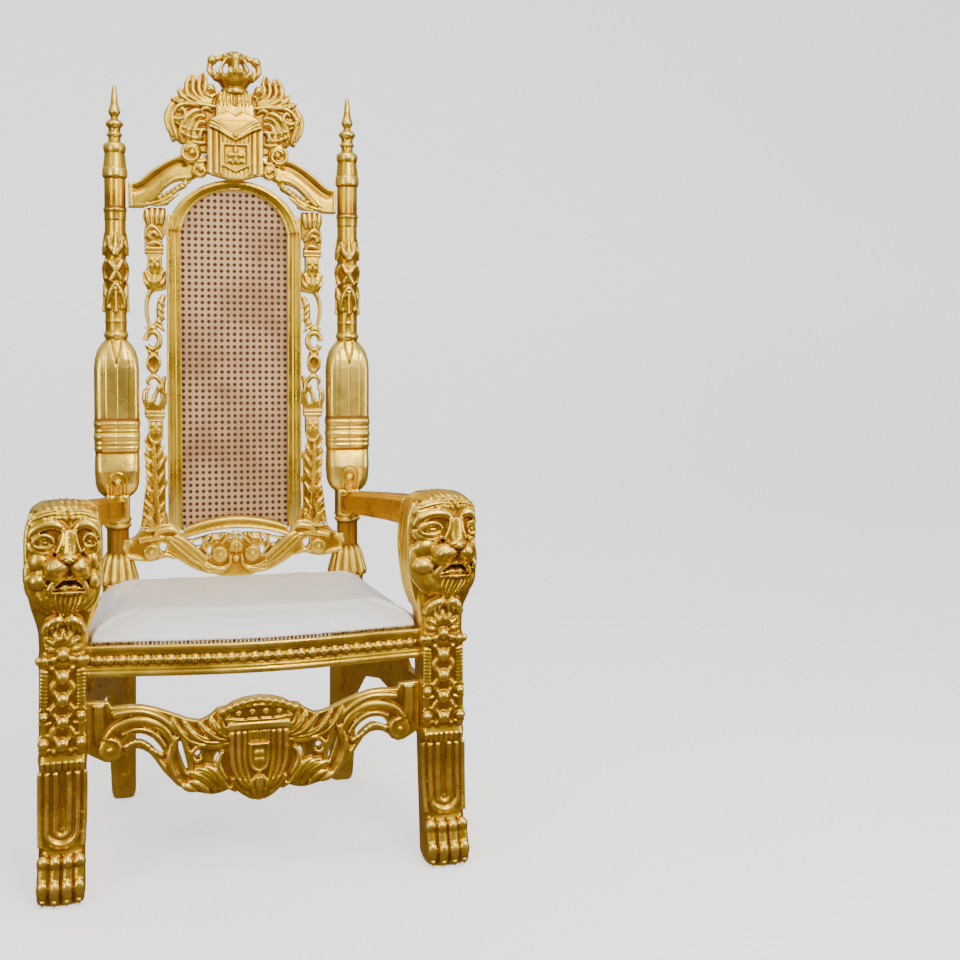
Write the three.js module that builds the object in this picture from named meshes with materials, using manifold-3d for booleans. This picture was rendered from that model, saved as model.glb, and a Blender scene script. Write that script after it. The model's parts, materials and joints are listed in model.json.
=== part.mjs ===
// A carved and gilt lion throne: lion-head front legs on paws, turned back posts, a caned back
// under a crowned coat of arms, carved aprons and a padded seat.
// Millimetres, +Z up, the sitter faces -Y. "left" and "right" are as seen from the front.
import * as THREE from 'three';
import { mergeVertices } from 'three/addons/utils/BufferGeometryUtils.js';
import Module from 'manifold-3d';

const wasm = await Module();
wasm.setup();

// Driving sizes
const HEIGHT = 1825; // floor to the top of the crown
const POST_X = 280; // rear posts, centre line to middle
const HEAD_X = 386; // lion heads, centre line to middle
const FOOT_X = 396; // front paws, centre line to middle
const RAIL_LOW = 444; // seat rails, underside
const RAIL_TOP = 508; // seat rails, top, where the cushion lies
const ARM_REAR = [692, 749]; // arm at the post, underside and top
const ARM_FRONT = [706, 782]; // arm at the lion's head, underside and top
const CANE_HALF = 128; // half width of the caned opening
const FRAME_HALF = 162; // half width of the frame around it
const SPRING = 1374; // where the frame's straight sides turn into its arch
const ARCH_TOP = 1514; // top of the frame
const FRAME_FRONT = -26;
const FRAME_BACK = 10;
const CREST_RAIL_TOP = 1575;
const GAP = 0.3; // left between pieces that touch

const GILT = { color: 0xd9b24a, roughness: 0.4, metalness: 0.6 };
const CANE = { color: 0xc9a27a, roughness: 0.7, metalness: 0 };
const VINYL = { color: 0xf1ece0, roughness: 0.5, metalness: 0 };

const throne = new THREE.Group();

// ---------- solids ----------

function solid(geometry) {
  geometry.deleteAttribute('normal');
  geometry.deleteAttribute('uv');
  const merged = mergeVertices(geometry, 1e-3);
  const index = merged.index.array;
  const triangles = [];
  for (let i = 0; i < index.length; i += 3) {
    const [a, b, c] = [index[i], index[i + 1], index[i + 2]];
    if (a !== b && b !== c && c !== a) triangles.push(a, b, c);
  }
  const vertProperties = Float32Array.from(merged.attributes.position.array);
  const build = (order) =>
    new wasm.Manifold(new wasm.Mesh({ numProp: 3, vertProperties, triVerts: Uint32Array.from(order) }));
  const body = build(triangles);
  return body.volume() > 0 ? body : build(triangles.reverse());
}

// Moves every vertex of a geometry to where place(vertex) puts it.
function shaped(geometry, place) {
  const position = geometry.attributes.position;
  const vertex = new THREE.Vector3();
  for (let i = 0; i < position.count; i++) {
    place(vertex.fromBufferAttribute(position, i));
    position.setXYZ(i, vertex.x, vertex.y, vertex.z);
  }
  return geometry;
}

function geometryOf(body) {
  const mesh = body.getMesh();
  const geometry = new THREE.BufferGeometry();
  const stride = mesh.numProp;
  const points = new Float32Array((mesh.vertProperties.length / stride) * 3);
  for (let i = 0; i < points.length / 3; i++) {
    for (let k = 0; k < 3; k++) points[3 * i + k] = mesh.vertProperties[i * stride + k];
  }
  geometry.setAttribute('position', new THREE.BufferAttribute(points, 3));
  geometry.setIndex(new THREE.BufferAttribute(Uint32Array.from(mesh.triVerts), 1));
  return geometry;
}

const mirrored = (body) => solid(geometryOf(body).scale(-1, 1, 1));

function joined(parts) {
  return parts.reduce((all, next) => all.add(next));
}

function both(body) {
  return body.add(mirrored(body));
}

function add(name, body, finish) {
  const geometry = geometryOf(body);
  const mesh = new THREE.Mesh(geometry, new THREE.MeshStandardMaterial(finish));
  mesh.name = name;
  throne.add(mesh);
}

function addPair(name, body, finish) {
  add(`${name}_right`, body, finish);
  add(`${name}_left`, mirrored(body), finish);
}

// ---------- forms ----------

// A pointed four-sided boss, for small leaves and petals.
const point = (x, y, z, rx, ry, rz) => ball(x, y, z, rx, ry, rz, 4, 2);

// Height by height: [z, x, half width, front y, back y, squareness], 2 for an ellipse, more for a
// squarer section. grow widens every section, for cutting a neighbour clear of this form.
function loft(rows, sides, grow = 0) {
  const body = new THREE.CylinderGeometry(1, 1, rows.length - 1, sides, rows.length - 1);
  const tip = (rows.length - 1) / 2;
  return solid(shaped(body, (v) => {
    const [z, x, half, front, back, squareness] = rows[Math.round(tip + v.y)];
    const angle = Math.atan2(v.z, v.x) + Math.PI / sides;
    const radius = Math.round(Math.hypot(v.x, v.z));
    const bulge = (c) => Math.sign(c) * Math.abs(c) ** (2 / squareness);
    v.set(
      x + radius * (half + grow) * bulge(Math.cos(angle)),
      (front + back) / 2 + radius * ((back - front) / 2 + grow) * bulge(Math.sin(angle)),
      z,
    );
  }));
}

// A turned form about an upright axis at (x, y): [radius, z] from the bottom up.
function turned(profile, x, y, sides) {
  const points = [[0, profile[0][1]], ...profile, [0, profile.at(-1)[1]]];
  const lathe = new THREE.LatheGeometry(points.map(([r, z]) => new THREE.Vector2(r, z)), sides);
  return solid(lathe.rotateX(Math.PI / 2).translate(x, y, 0));
}

// A flat piece seen from the front: its outline in x and z, between two depths.
function plate(shape, front, back) {
  const slab = new THREE.ExtrudeGeometry(shape, { depth: back - front, bevelEnabled: false });
  return solid(slab.rotateX(Math.PI / 2).translate(0, back, 0));
}

function polygon(points) {
  return new THREE.Shape(points.map(([x, z]) => new THREE.Vector2(x, z)));
}

// Half an outline from the centre line out and back to it, made whole by its mirror image.
function symmetric(half) {
  const other = half.filter(([x]) => x > 0).map(([x, z]) => [-x, z]).reverse();
  return polygon([...half, ...other]);
}

function ball(x, y, z, rx, ry = rx, rz = rx, sides = 5, rings = 3) {
  const sphere = new THREE.SphereGeometry(1, sides, rings).rotateX(Math.PI / 2);
  return solid(sphere.scale(rx, ry, rz).translate(x, y, z));
}

// A round boss or scroll eye: a short drum facing the front, a little smaller at its face.
function boss(x, z, radius, front, back, sides = 7) {
  const drum = new THREE.CylinderGeometry(radius, radius * 0.82, back - front, sides);
  return solid(drum.translate(x, (front + back) / 2, z));
}

// A leaf, stem or lock of hair carved on the front: a body that follows a curve through [x, z]
// points, widths gives its half widths along the way, and thick is how far it stands out.
function stroke(points, widths, thick, y, { sides = 4, steps = 3, back = thick } = {}) {
  const places = points.map(([x, z]) => new THREE.Vector3(x, 0, z));
  const path = new THREE.CatmullRomCurve3(places, false, 'centripetal');
  const widest = Math.max(...widths);
  const body = new THREE.CylinderGeometry(1, 1, steps, sides, steps);
  return solid(shaped(body, (v) => {
    const t = (steps / 2 + v.y) / steps;
    const at = t * (widths.length - 1);
    const low = Math.min(Math.floor(at), widths.length - 2);
    const width = THREE.MathUtils.lerp(widths[low], widths[low + 1], at - low);
    const angle = Math.atan2(v.z, v.x);
    const radius = Math.round(Math.hypot(v.x, v.z));
    const along = path.getTangent(t);
    const place = path.getPoint(t);
    const side = radius * width * Math.cos(angle);
    const rise = radius * Math.sin(angle) * Math.sqrt(width / widest);
    v.set(
      place.x - along.z * side,
      y - (rise > 0 ? rise * thick : rise * back),
      place.z + along.x * side,
    );
  }));
}

function box(x0, x1, y0, y1, z0, z1) {
  const block = new THREE.BoxGeometry(x1 - x0, y1 - y0, z1 - z0);
  return solid(block.translate((x0 + x1) / 2, (y0 + y1) / 2, (z0 + z1) / 2));
}

// ---------- front legs: lion's head, beaded shin, fluted ankle and paw, carved as one ----------

const LEG = [
  [0, FOOT_X + 1, 40, -588, -498, 3],
  [16, FOOT_X + 1, 48, -598, -490, 3],
  [62, FOOT_X, 48, -597, -488, 3.5],
  [120, 395, 46, -574, -489, 4],
  [190, 393, 46, -562, -490, 4],
  [300, 392, 47, -568, -484, 5],
  [505, 388, 47, -578, -472, 5],
  [555, HEAD_X + 1, 52, -580, -469, 4.5],
  [612, HEAD_X, 69, -588, -462, 3.4],
  [725, HEAD_X, 73, -592, -456, 3.2],
  [768, HEAD_X, 70, -588, -458, 3],
  [803, HEAD_X, 48, -560, -480, 2.4],
];

// The leg's middle and front face at a height.
function legAt(z) {
  const upper = LEG.findIndex((row) => row[0] >= z);
  const [low, high] = [LEG[Math.max(upper - 1, 0)], LEG[upper]];
  const t = high[0] === low[0] ? 0 : (z - low[0]) / (high[0] - low[0]);
  const between = (column) => THREE.MathUtils.lerp(low[column], high[column], t);
  return { x: between(1), front: between(3) };
}

function legBall(dx, z, rx, rz = rx, proud = rx * 0.5) {
  const { x, front } = legAt(z);
  return ball(x + dx, front - proud + rx * 0.75, z, rx, rx, rz);
}

function legBead(dx, z, size) {
  const { x, front } = legAt(z);
  return point(x + dx, front + 1, z, size, size * 0.9, size);
}

function legStroke(points, widths, thick, options) {
  const zs = points.map(([, z]) => z);
  const { x, front } = legAt((Math.min(...zs) + Math.max(...zs)) / 2);
  return stroke(points.map(([dx, z]) => [x + dx, z]), widths, thick, front, options);
}

function lionFace() {
  const parts = [];
  const { x, front } = legAt(700);
  for (const side of [-1, 1]) {
    parts.push(legStroke([[side * 6, 760], [side * 58, 750]], [10, 8], 11, { steps: 1 }));
    parts.push(legBead(side * 42, 727, 13));
    parts.push(ball(x + side * 22, front - 6, 671, 25, 24, 20));
    parts.push(legStroke([[side * 3, 570], [side * 42, 548]], [11, 6], 12, { steps: 1 }));
    parts.push(point(x + side * 66, front + 60, 700, 14, 40, 70));
  }
  parts.push(loft([[684, x, 12, front - 30, front + 12, 3], [700, x, 22, front - 36, front + 12, 3],
    [752, x, 16, front - 10, front + 12, 3]], 4));
  parts.push(ball(x, front + 2, 616, 36, 17, 15));
  parts.push(legStroke([[0, 610], [0, 560]], [24, 4], 14, { steps: 1 }));
  const mouth = box(x - 24, x + 24, front - 40, front + 4, 633, 648);
  return joined(parts).subtract(mouth);
}

function legCarving() {
  const parts = [];
  for (const z of [455, 409, 363, 318]) parts.push(legBead(0, z, 19));
  for (const side of [-1, 1]) {
    for (const z of [493, 348]) parts.push(legBead(side * 32, z, 14));
    parts.push(legStroke([[side * 4, 503], [side * 30, 528]], [4, 11], 6, { steps: 1 }));
  }
  parts.push(legStroke([[0, 505], [0, 542]], [4, 9], 6, { steps: 1 }), legBall(0, 502, 12, 12, 10));
  return joined(parts);
}

// A U-shaped flute runs down the shin.
function legFlutes() {
  const { x, front } = legAt(190);
  const bow = (half, bottom) => {
    const ends = [[x - half, 258], [x - half, bottom + half]];
    const bend = [[x - half * 0.6, bottom + half * 0.2], [x, bottom]];
    const side = [...ends, ...bend];
    return [...side, ...side.slice(0, 3).reverse().map(([px, z]) => [2 * x - px, z])];
  };
  const rib = (half, bottom, steps) => stroke(bow(half, bottom), [4, 4], 6, front, { steps });
  return rib(28, 114, 6);
}

function paw() {
  const parts = [];
  for (const dx of [-34, -12, 12, 34]) {
    const { x } = legAt(60);
    const inner = Math.abs(dx) < 20 ? 6 : 0;
    parts.push(ball(x + dx, -586 - inner, 52, 13, 22, 50));
  }
  return joined(parts);
}

const legCore = (grow) => loft(LEG, 8, grow);
const floorSlab = box(300, 500, -700, -400, -60, 0);
const frontLeg = joined([legCore(0), lionFace(), legCarving(), legFlutes(), paw()]).subtract(floorSlab);
addPair('front_leg', frontLeg, GILT);

// ---------- rear posts: leg, leaf collar, arm block, split baluster, leafed shaft, spire ----------

const REAR_LEG = [
  [0, 271, 25, 17, 67, 3],
  [14, 271, 29, 13, 71, 4],
  [150, 273, 32, -4, 60, 5],
  [300, 276, 36, -24, 48, 5],
  [RAIL_LOW, 279, 37, -35, 39, 6],
  [540, POST_X, 37, -36, 36, 6],
];

const COLLAR = [[532, 36], [540, 46], [575, 40], [612, 28]];
const SHAFT = [[27, 600], [27, 673], [33, 679], [29, 684], [33, 693]];

const BALUSTER = [
  [750, 30, 25, 2.4],
  [764, 44, 32, 2.8],
  [800, 52.5, 36, 4],
  [857, 52.5, 36, 4],
  [859, 48, 32, 4],
  [873, 54, 38, 4],
  [893, 48, 32, 4],
  [912, 54, 38, 4],
  [929, 48, 32, 4],
  [932, 52.5, 36, 4],
  [1068, 52.5, 36, 4],
  [1100, 44, 32, 3],
  [1124, 26, 25, 2],
];

const UPPER = [
  [25, 1122], [31, 1132], [25, 1142], [25, 1400], [29, 1406], [28, 1429], [31, 1435], [28, 1440],
  [28, 1510], [31, 1524], [24, 1580], [29, 1587], [15, 1595], [19, 1616], [14, 1627], [22, 1639],
  [13, 1650], [2, 1734],
];

// Eight drooping leaves: the collar's radius swells and shrinks as it goes round.
function collar() {
  const rows = COLLAR.map(([z, radius]) => [z, POST_X, radius, -radius, radius, 2]);
  const body = shaped(geometryOf(loft(rows, 16)), (v) => {
    const turn = Math.atan2(v.y, v.x - POST_X);
    const droop = 1 + 0.09 * Math.sin(8 * turn) * Math.min(1, (612 - v.z) / 30);
    v.set(POST_X + (v.x - POST_X) * droop, v.y * droop, v.z);
  });
  return solid(body);
}

function shaftLeaves() {
  const parts = [];
  const out = 21;
  for (const [low, high, reach] of [[1186, 1270, 15], [1338, 1398, 14]]) {
    for (const turn of [-0.75 * Math.PI, -0.25 * Math.PI]) {
      const [x, y] = [POST_X + out * Math.cos(turn), out * Math.sin(turn)];
      parts.push(point(x, y, (low + high) / 2, reach, reach, (high - low) / 2));
    }
  }
  parts.push(point(POST_X, -22, 1308, 30, 12, 24));
  return joined(parts);
}

function column(radius, low, high) {
  return turned([[radius, low], [radius, high]], POST_X, 0, 8);
}

const armBlock = (grow) =>
  loft([[ARM_REAR[0], POST_X, 29, -29, 29, 6], [ARM_REAR[1] + 3, POST_X, 29, -29, 29, 6]], 8, grow);

// The squared stretch that the crest rail is joined to.
const railBlock = (grow) => loft([[1440, POST_X, 30, -30, 30, 5], [1510, POST_X, 30, -30, 30, 5]], 8, grow);

function postCore(grow) {
  return joined([
    loft(REAR_LEG, 8, grow),
    column(27 + grow, 530, 760),
    armBlock(grow),
    railBlock(grow),
    turned(COLLAR.map(([z, radius]) => [radius * 1.14 + grow, z]), POST_X, 0, 12),
  ]);
}

const balusterBody = loft(BALUSTER.map(([z, half, deep, p]) => [z, POST_X, half, -deep, deep, p]), 8);
const seamEdge = [[-9, 1130], [-1.5, 1062], [-1.5, 938], [1.5, 938], [1.5, 1062], [9, 1130]];
const seam = plate(polygon(seamEdge.map(([dx, z]) => [POST_X + dx, z])), -60, -32);
const stud = point(POST_X, -31, 776, 13, 14, 24);
const rearPost = joined([
  loft(REAR_LEG, 8), collar(), turned(SHAFT, POST_X, 0, 8), armBlock(0), balusterBody.subtract(seam), stud,
  turned(UPPER, POST_X, 0, 8), railBlock(0), shaftLeaves(),
]);
addPair('rear_post', rearPost, GILT);

// ---------- arms: from the rear post's block out and forward to the back of the lion's head ----------

function arm() {
  const steps = 4;
  const rear = new THREE.Vector3(POST_X, -10, 0);
  const front = new THREE.Vector3(HEAD_X, -480, 0);
  const path = new THREE.QuadraticBezierCurve3(rear, new THREE.Vector3(HEAD_X - 12, -190, 0), front);
  const bar = new THREE.CylinderGeometry(1, 1, steps, 8, steps);
  return solid(shaped(bar, (v) => {
    const t = (steps / 2 + v.y) / steps;
    const place = path.getPoint(t);
    const along = path.getTangent(t);
    const low = THREE.MathUtils.lerp(ARM_REAR[0], ARM_FRONT[0], t) + GAP;
    const high = THREE.MathUtils.lerp(ARM_REAR[1], ARM_FRONT[1], t) - GAP;
    const angle = Math.atan2(v.z, v.x) + Math.PI / 8;
    const radius = Math.round(Math.hypot(v.x, v.z));
    const bulge = (c) => Math.sign(c) * Math.sqrt(Math.abs(c));
    const side = radius * THREE.MathUtils.lerp(26, 32, t) * bulge(Math.cos(angle));
    const rise = radius * ((high - low) / 2) * bulge(Math.sin(angle));
    v.set(place.x - along.y * side, place.y + along.x * side, (low + high) / 2 + rise);
  }));
}
addPair('arm', arm().subtract(postCore(GAP)).subtract(frontLeg).subtract(legCore(GAP)), GILT);

// ---------- back frame: an arched frame with a reeded edge, bowed up at its foot ----------

function arch(half, top, from, count = 8) {
  const points = [];
  for (let i = 0; i <= count; i++) {
    const angle = ((count - i) * Math.PI) / 2 / count;
    points.push([half * Math.cos(angle), SPRING + (top - SPRING) * Math.sin(angle)]);
  }
  return [...points, [half, from]];
}

const FRAME_FOOT = 672;
const frameShape = (grow) => symmetric([
  ...arch(FRAME_HALF + grow, ARCH_TOP + grow, FRAME_FOOT - grow),
  [144 + grow, FRAME_FOOT - grow], [138 + grow, 640 - grow],
  [90, 650 - grow], [45, 661 - grow], [0, 664 - grow],
]);
const caneShape = (shrink) => symmetric([
  ...arch(CANE_HALF - shrink, 1494 - shrink, 668 + shrink),
  [90, 683 + shrink], [45, 693 + shrink], [0, 696 + shrink],
]);
const recess = plate(symmetric([...arch(148, 1503, 700), [0, 715]]), FRAME_FRONT - 5, FRAME_FRONT + 7);
const backFrame = plate(frameShape(0), FRAME_FRONT, FRAME_BACK).subtract(recess)
  .subtract(plate(caneShape(0), FRAME_FRONT - 5, FRAME_BACK + 5));
add('back_frame', backFrame, GILT);
add('cane_panel', plate(caneShape(GAP), -8, -4), CANE);

const besideFrame = plate(frameShape(GAP), FRAME_FRONT - 30, FRAME_BACK + 30);
const postsCleared = both(postCore(GAP));

// ---------- crest rail: swan-necked, gouged, with a pierced leaf and beads by the arch ----------

const RAIL_FRONT = -28;

function crestRail() {
  const top = [[0, CREST_RAIL_TOP], [118, CREST_RAIL_TOP], [134, 1567], [165, 1551], [195, 1531],
    [220, 1509], [238, 1503], [POST_X, 1503]];
  const foot = [[POST_X, 1441], [214, 1442], [203, 1447], [0, 1447]];
  const body = plate(symmetric([...top, ...foot]), RAIL_FRONT, 2);
  const beads = [];
  for (let i = 0; i < 4; i++) beads.push(point(174 - i * 15, -17, 1461 + i * 9, 10, 12, 10));
  const opening = [[190, 1458], [172, 1484], [142, 1507], [112, 1508], [122, 1490], [172, 1460]];
  const pierced = plate(polygon(opening), RAIL_FRONT - 5, 10);
  const gougeLine = [[228, 1484], [195, 1503], [165, 1528], [132, 1546]];
  const gouge = stroke(gougeLine, [5, 9, 5], 6, RAIL_FRONT, { steps: 2 });
  return body.subtract(besideFrame).subtract(postsCleared)
    .subtract(both(pierced)).subtract(both(gouge)).add(both(joined(beads)));
}
add('crest_rail', crestRail(), GILT);

// ---------- crest: crown, fluted cap, acanthus mantling and a shield, carved as one ----------

const CREST_FRONT = -44;
const CREST_MIDDLE = -26;

// A turned bowl with a flared rim, four arches that swell into orbs, and a domed top where they meet.
function crown() {
  const bowl = [[32, 1716], [32, 1730], [28, 1735], [40, 1751], [49, 1757], [46, 1766]];
  const parts = [turned(bowl, 0, CREST_MIDDLE, 8)];
  const arches = 4;
  for (let i = 0; i < arches; i++) {
    const spoke = stroke([[40, 1758], [56, 1792], [20, 1803]], [9, 11, 6], 9, 0, { steps: 2 });
    parts.push(spoke.rotate([0, 0, (i * 360) / arches - 90]).translate([0, CREST_MIDDLE, 0]));
  }
  parts.push(turned([[27, 1797], [32, 1803], [27, 1809], [5, HEIGHT]], 0, CREST_MIDDLE, 8));
  return joined(parts);
}

function shield() {
  const front = CREST_FRONT - 12;
  const field = symmetric([[0, 1655], [60, 1650], [66, 1640], [66, 1527], [57, 1524], [0, 1512]]);
  const bar = plate(polygon([[40, 1527], [52, 1527], [52, 1640], [40, 1640]]), front - 4, front + 2);
  const inner = symmetric([[0, 1597], [31, 1597], [31, 1548], [0, 1529]]);
  const drape = stroke([[60, 1643], [-3, 1620]], [8, 8], 8, front - 2, { steps: 1 });
  return joined([
    plate(field, front, RAIL_FRONT - GAP), both(bar), plate(inner, front - 4, front + 2), both(drape),
    point(0, front - 3, 1566, 20, 5, 20),
  ]);
}

// The mantling's outline: plumes rise beside the crown, and the lobes curl down beside the shield.
const MANTLING = [[0, 1724], [46, 1724], [62, 1716], [66, 1745], [70, 1769], [81, 1757], [84, 1738],
  [92, 1752], [102, 1764], [111, 1748], [109, 1722], [136, 1725], [130, 1709], [150, 1703], [146, 1693],
  [157, 1677], [160, 1652], [156, 1630], [147, 1603], [138, 1613], [130, 1600], [84, 1600],
  [84, CREST_RAIL_TOP + GAP], [0, CREST_RAIL_TOP + GAP]];

// The ridges and scrolls of one side.
function mantling() {
  const ridges = [
    [[[48, 1704], [76, 1720], [72, 1762]], [8, 11, 3], 2],
    [[[50, 1698], [104, 1712], [102, 1758]], [8, 11, 3], 2],
    [[[50, 1688], [118, 1694], [153, 1658], [145, 1612]], [8, 12, 12, 4], 3],
    [[[62, 1658], [114, 1654], [124, 1610]], [15, 22, 8], 2],
  ];
  const ridge = ([points, widths, steps]) =>
    stroke(points, widths, 14, CREST_FRONT + 6, { back: 9, steps });
  const parts = ridges.map(ridge);
  parts.push(ball(57, CREST_FRONT + 2, 1728, 12));
  parts.push(point(126, CREST_FRONT - 4, 1674, 18, 14, 18));
  for (const [x, z, radius] of [[105, 1574, 25], [82, 1534, 20]]) {
    parts.push(boss(x, z, radius, CREST_FRONT - 6, RAIL_FRONT - GAP), point(x, CREST_FRONT - 5, z, 12, 8, 12));
  }
  return joined(parts);
}

function cap() {
  const fanShape = symmetric([[0, 1722], [32, 1722], [46, 1706], [46, 1684], [0, 1684]]);
  const fan = plate(fanShape, CREST_FRONT, CREST_MIDDLE + 14);
  const zigzag = symmetric([[0, 1686], [24, 1700], [46, 1692], [46, 1652], [0, 1652]]);
  const notched = symmetric([[0, 1662], [22, 1676], [46, 1664], [46, 1650], [0, 1650]]);
  return joined([
    fan,
    plate(zigzag, CREST_FRONT - 7, CREST_MIDDLE + 14),
    plate(notched, CREST_FRONT - 12, CREST_FRONT),
  ]);
}

const backing = plate(symmetric(MANTLING), CREST_FRONT + 4, CREST_MIDDLE + 22);
const railSpace = plate(symmetric([[0, CREST_RAIL_TOP + GAP], [119, CREST_RAIL_TOP + GAP], [135, 1568],
  [166, 1552], [166, 1440], [0, 1440]]), RAIL_FRONT - GAP, 30);
const coatOfArms = joined([crown(), shield(), both(mantling()), cap(), backing]);
add('crest', coatOfArms.subtract(railSpace).subtract(besideFrame), GILT);

// ---------- side carvings: hanging motifs beside the frame, from the crest rail to the apron ----------

const CARVING_FOOT = FRAME_FOOT + GAP;

function hole(x, z, rx, rz, count = 6) {
  const points = [];
  for (let i = 0; i < count; i++) {
    const angle = (i * 2 * Math.PI) / count;
    points.push([x + rx * Math.sin(angle), z + rz * Math.cos(angle)]);
  }
  return plate(polygon(points), -700, 100);
}

function sideCarving() {
  const inner = FRAME_HALF + 7;
  const touching = FRAME_HALF + GAP;
  const outline = [
    [touching, 1446], [203, 1446], [214, 1440], [218, 1424], [211, 1404], [216, 1372], [208, 1330],
    [207, 1302], [219, 1290], [219, 1254], [207, 1246], [213, 1200], [206, 1164], [216, 1154],
    [209, 1148], [220, 1126], [214, 1104], [205, 1092], [213, 1064], [203, 1048], [211, 1034],
    [219, 996], [216, 940], [209, 934], [209, 902], [220, 880], [207, 862], [221, 846], [210, 836],
    [219, 818], [208, 800], [215, 770], [221, 735], [228, CARVING_FOOT], [touching, CARVING_FOOT],
    [touching, 700], [inner, 712], [inner, 840], [touching, 852], [touching, 880], [inner, 892],
    [inner, 1150], [touching, 1160], [touching, 1296], [inner, 1300], [inner, 1366], [touching, 1376],
  ];
  const parts = [plate(polygon(outline), -18, 0)];
  for (const [top, foot] of [[1332, 1280], [934, 882]]) {
    const shape = [[173, top], [207, top], [207, foot + 18], [190, foot], [173, foot + 18]];
    parts.push(plate(polygon(shape), -25, -17), box(169, 214, -29, -10, top + 4, top + 14));
  }
  parts.push(point(193, -16, 1264, 17, 12, 36));
  parts.push(stroke([[176, 1380], [196, 1398], [208, 1366]], [6, 9, 7], 9, -18, { steps: 2 }));
  parts.push(stroke([[174, 1010], [196, 1036], [206, 1020]], [6, 8, 6], 9, -18, { steps: 2 }));
  parts.push(stroke([[193, 872], [192, 790], [184, 690]], [4, 9, 13], 8, -18, { steps: 2 }));
  parts.push(point(192, -16, 1068, 15, 12, 22));
  const holes = joined([hole(193, 1204, 9, 32), hole(195, 1124, 9, 19), hole(187, 1004, 8, 20)]);
  return joined(parts).subtract(holes);
}
addPair('side_carving', sideCarving(), GILT);

// ---------- back apron: scrolls and pierced leaves under the frame, between the posts ----------

function backApron() {
  const top = FRAME_FOOT - GAP;
  const half = [[0, top + 20], [150, top + 20], [150, top], [228, top], [234, 658], [246, 648],
    [276, 645], [276, 601], [236, 595], [204, 589], [158, 599], [98, 565], [70, 554], [0, 546]];
  const carved = joined([
    boss(38, 601, 19, -38, -14), boss(203, 611, 20, -38, -14),
    point(38, -36, 601, 8, 9, 8), point(203, -36, 611, 8, 9, 8),
    stroke([[150, 652], [108, 612], [62, 570], [20, 582]], [13, 15, 13, 6], 9, -26, { steps: 2 }),
    stroke([[232, 636], [190, 660], [148, 660]], [6, 12, 7], 10, -26, { steps: 2 }),
  ]);
  const holes = joined([
    plate(polygon([[62, 646], [104, 634], [92, 624], [70, 632]]), -60, 20),
    plate(polygon([[62, 622], [72, 606], [62, 596]]), -60, 20),
    plate(polygon([[168, 630], [182, 634], [176, 612]]), -60, 20),
  ]);
  const middle = plate(polygon([[-15, 652], [0, 658], [15, 652], [0, 636]]), -60, 20);
  return plate(symmetric(half), -24, 2).subtract(middle).subtract(both(holes)).add(both(carved))
    .subtract(besideFrame).subtract(postsCleared);
}
add('back_apron', backApron(), GILT);

// ---------- seat rails and cushion ----------

const SEAT_CURVE = 40; // how far the front rail bows forward in its middle
const RAIL_END_FRONT = -545; // front face of the front rail where it meets the legs
const LEG_INSIDE = 341;

const legsCleared = both(legCore(GAP));
const bow = (x) => SEAT_CURVE * Math.cos((Math.min(Math.abs(x) / LEG_INSIDE, 1) * Math.PI) / 2) ** 1.4;

function bowed(geometry) {
  return solid(shaped(geometry, (v) => v.setY(v.y - bow(v.x))));
}

function seatRailFront() {
  const width = 2 * (LEG_INSIDE + 20);
  const back = RAIL_END_FRONT + 34;
  const strip = (front, low, high) => {
    const bar = new THREE.BoxGeometry(width, back - front, high - low, 6, 1, 1);
    return bowed(bar.translate(0, (back + front) / 2, (low + high) / 2));
  };
  const parts = [
    strip(RAIL_END_FRONT, RAIL_LOW, RAIL_TOP),
    strip(RAIL_END_FRONT - 8, RAIL_LOW, RAIL_LOW + 18),
  ];
  const beads = 28;
  const pitch = (2 * LEG_INSIDE - 14) / beads;
  for (let i = 0; i < beads; i++) {
    const x = (i - (beads - 1) / 2) * pitch;
    parts.push(point(x, RAIL_END_FRONT - bow(x), RAIL_LOW + 33, pitch * 0.48, 9, 11));
  }
  return joined(parts).subtract(legsCleared);
}
add('seat_rail_front', seatRailFront(), GILT);
add('seat_rail_back', box(-300, 300, -14, 14, RAIL_LOW, RAIL_TOP).subtract(postsCleared), GILT);

// Pieces between a front leg and the rear leg behind it are drawn along x from the rear leg's
// middle, then turned and moved to their place.
const LEG_MIDDLE = -526;
const SIDE_BACK_X = 268;
const SIDE_FRONT_X = 360;
const SIDE_LENGTH = Math.hypot(SIDE_FRONT_X - SIDE_BACK_X, LEG_MIDDLE);
const SIDE_TURN = (Math.atan2(LEG_MIDDLE, SIDE_FRONT_X - SIDE_BACK_X) * 180) / Math.PI;

function alongSide(body) {
  return body.rotate([0, 0, SIDE_TURN]).translate([SIDE_BACK_X, 0, 0])
    .subtract(postCore(GAP)).subtract(legCore(GAP));
}
addPair('seat_rail', alongSide(box(0, SIDE_LENGTH, -13, 13, RAIL_LOW, RAIL_TOP)), GILT);

function cushion() {
  const front = RAIL_END_FRONT + 6;
  const back = -18;
  const edge = 24;
  const crown = 50;
  const pad = new THREE.BoxGeometry(2, 1, 1, 4, 4, 1);
  const body = solid(shaped(pad, (v) => {
    const across = v.x;
    const deep = v.y + 0.5;
    const half = THREE.MathUtils.lerp(SIDE_FRONT_X, SIDE_BACK_X, deep) + 6;
    const inside = Math.min(1 - Math.abs(across), Math.min(deep, 1 - deep) * 2) > 0.1;
    const x = across * half;
    const y = THREE.MathUtils.lerp(front - bow(x) * 0.95, back, deep);
    const thick = inside ? crown : edge;
    v.set(x, y, RAIL_TOP + GAP + (v.z > 0 ? thick : 0));
  }));
  return body.subtract(both(legCore(2))).subtract(both(postCore(2)));
}
add('seat_cushion', cushion(), VINYL);

// ---------- front stretcher: two arches with scrolled ends, leaves, coronet and shield ----------

const STRETCHER_FRONT = -545;
const STRETCHER_BACK = -520;

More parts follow.
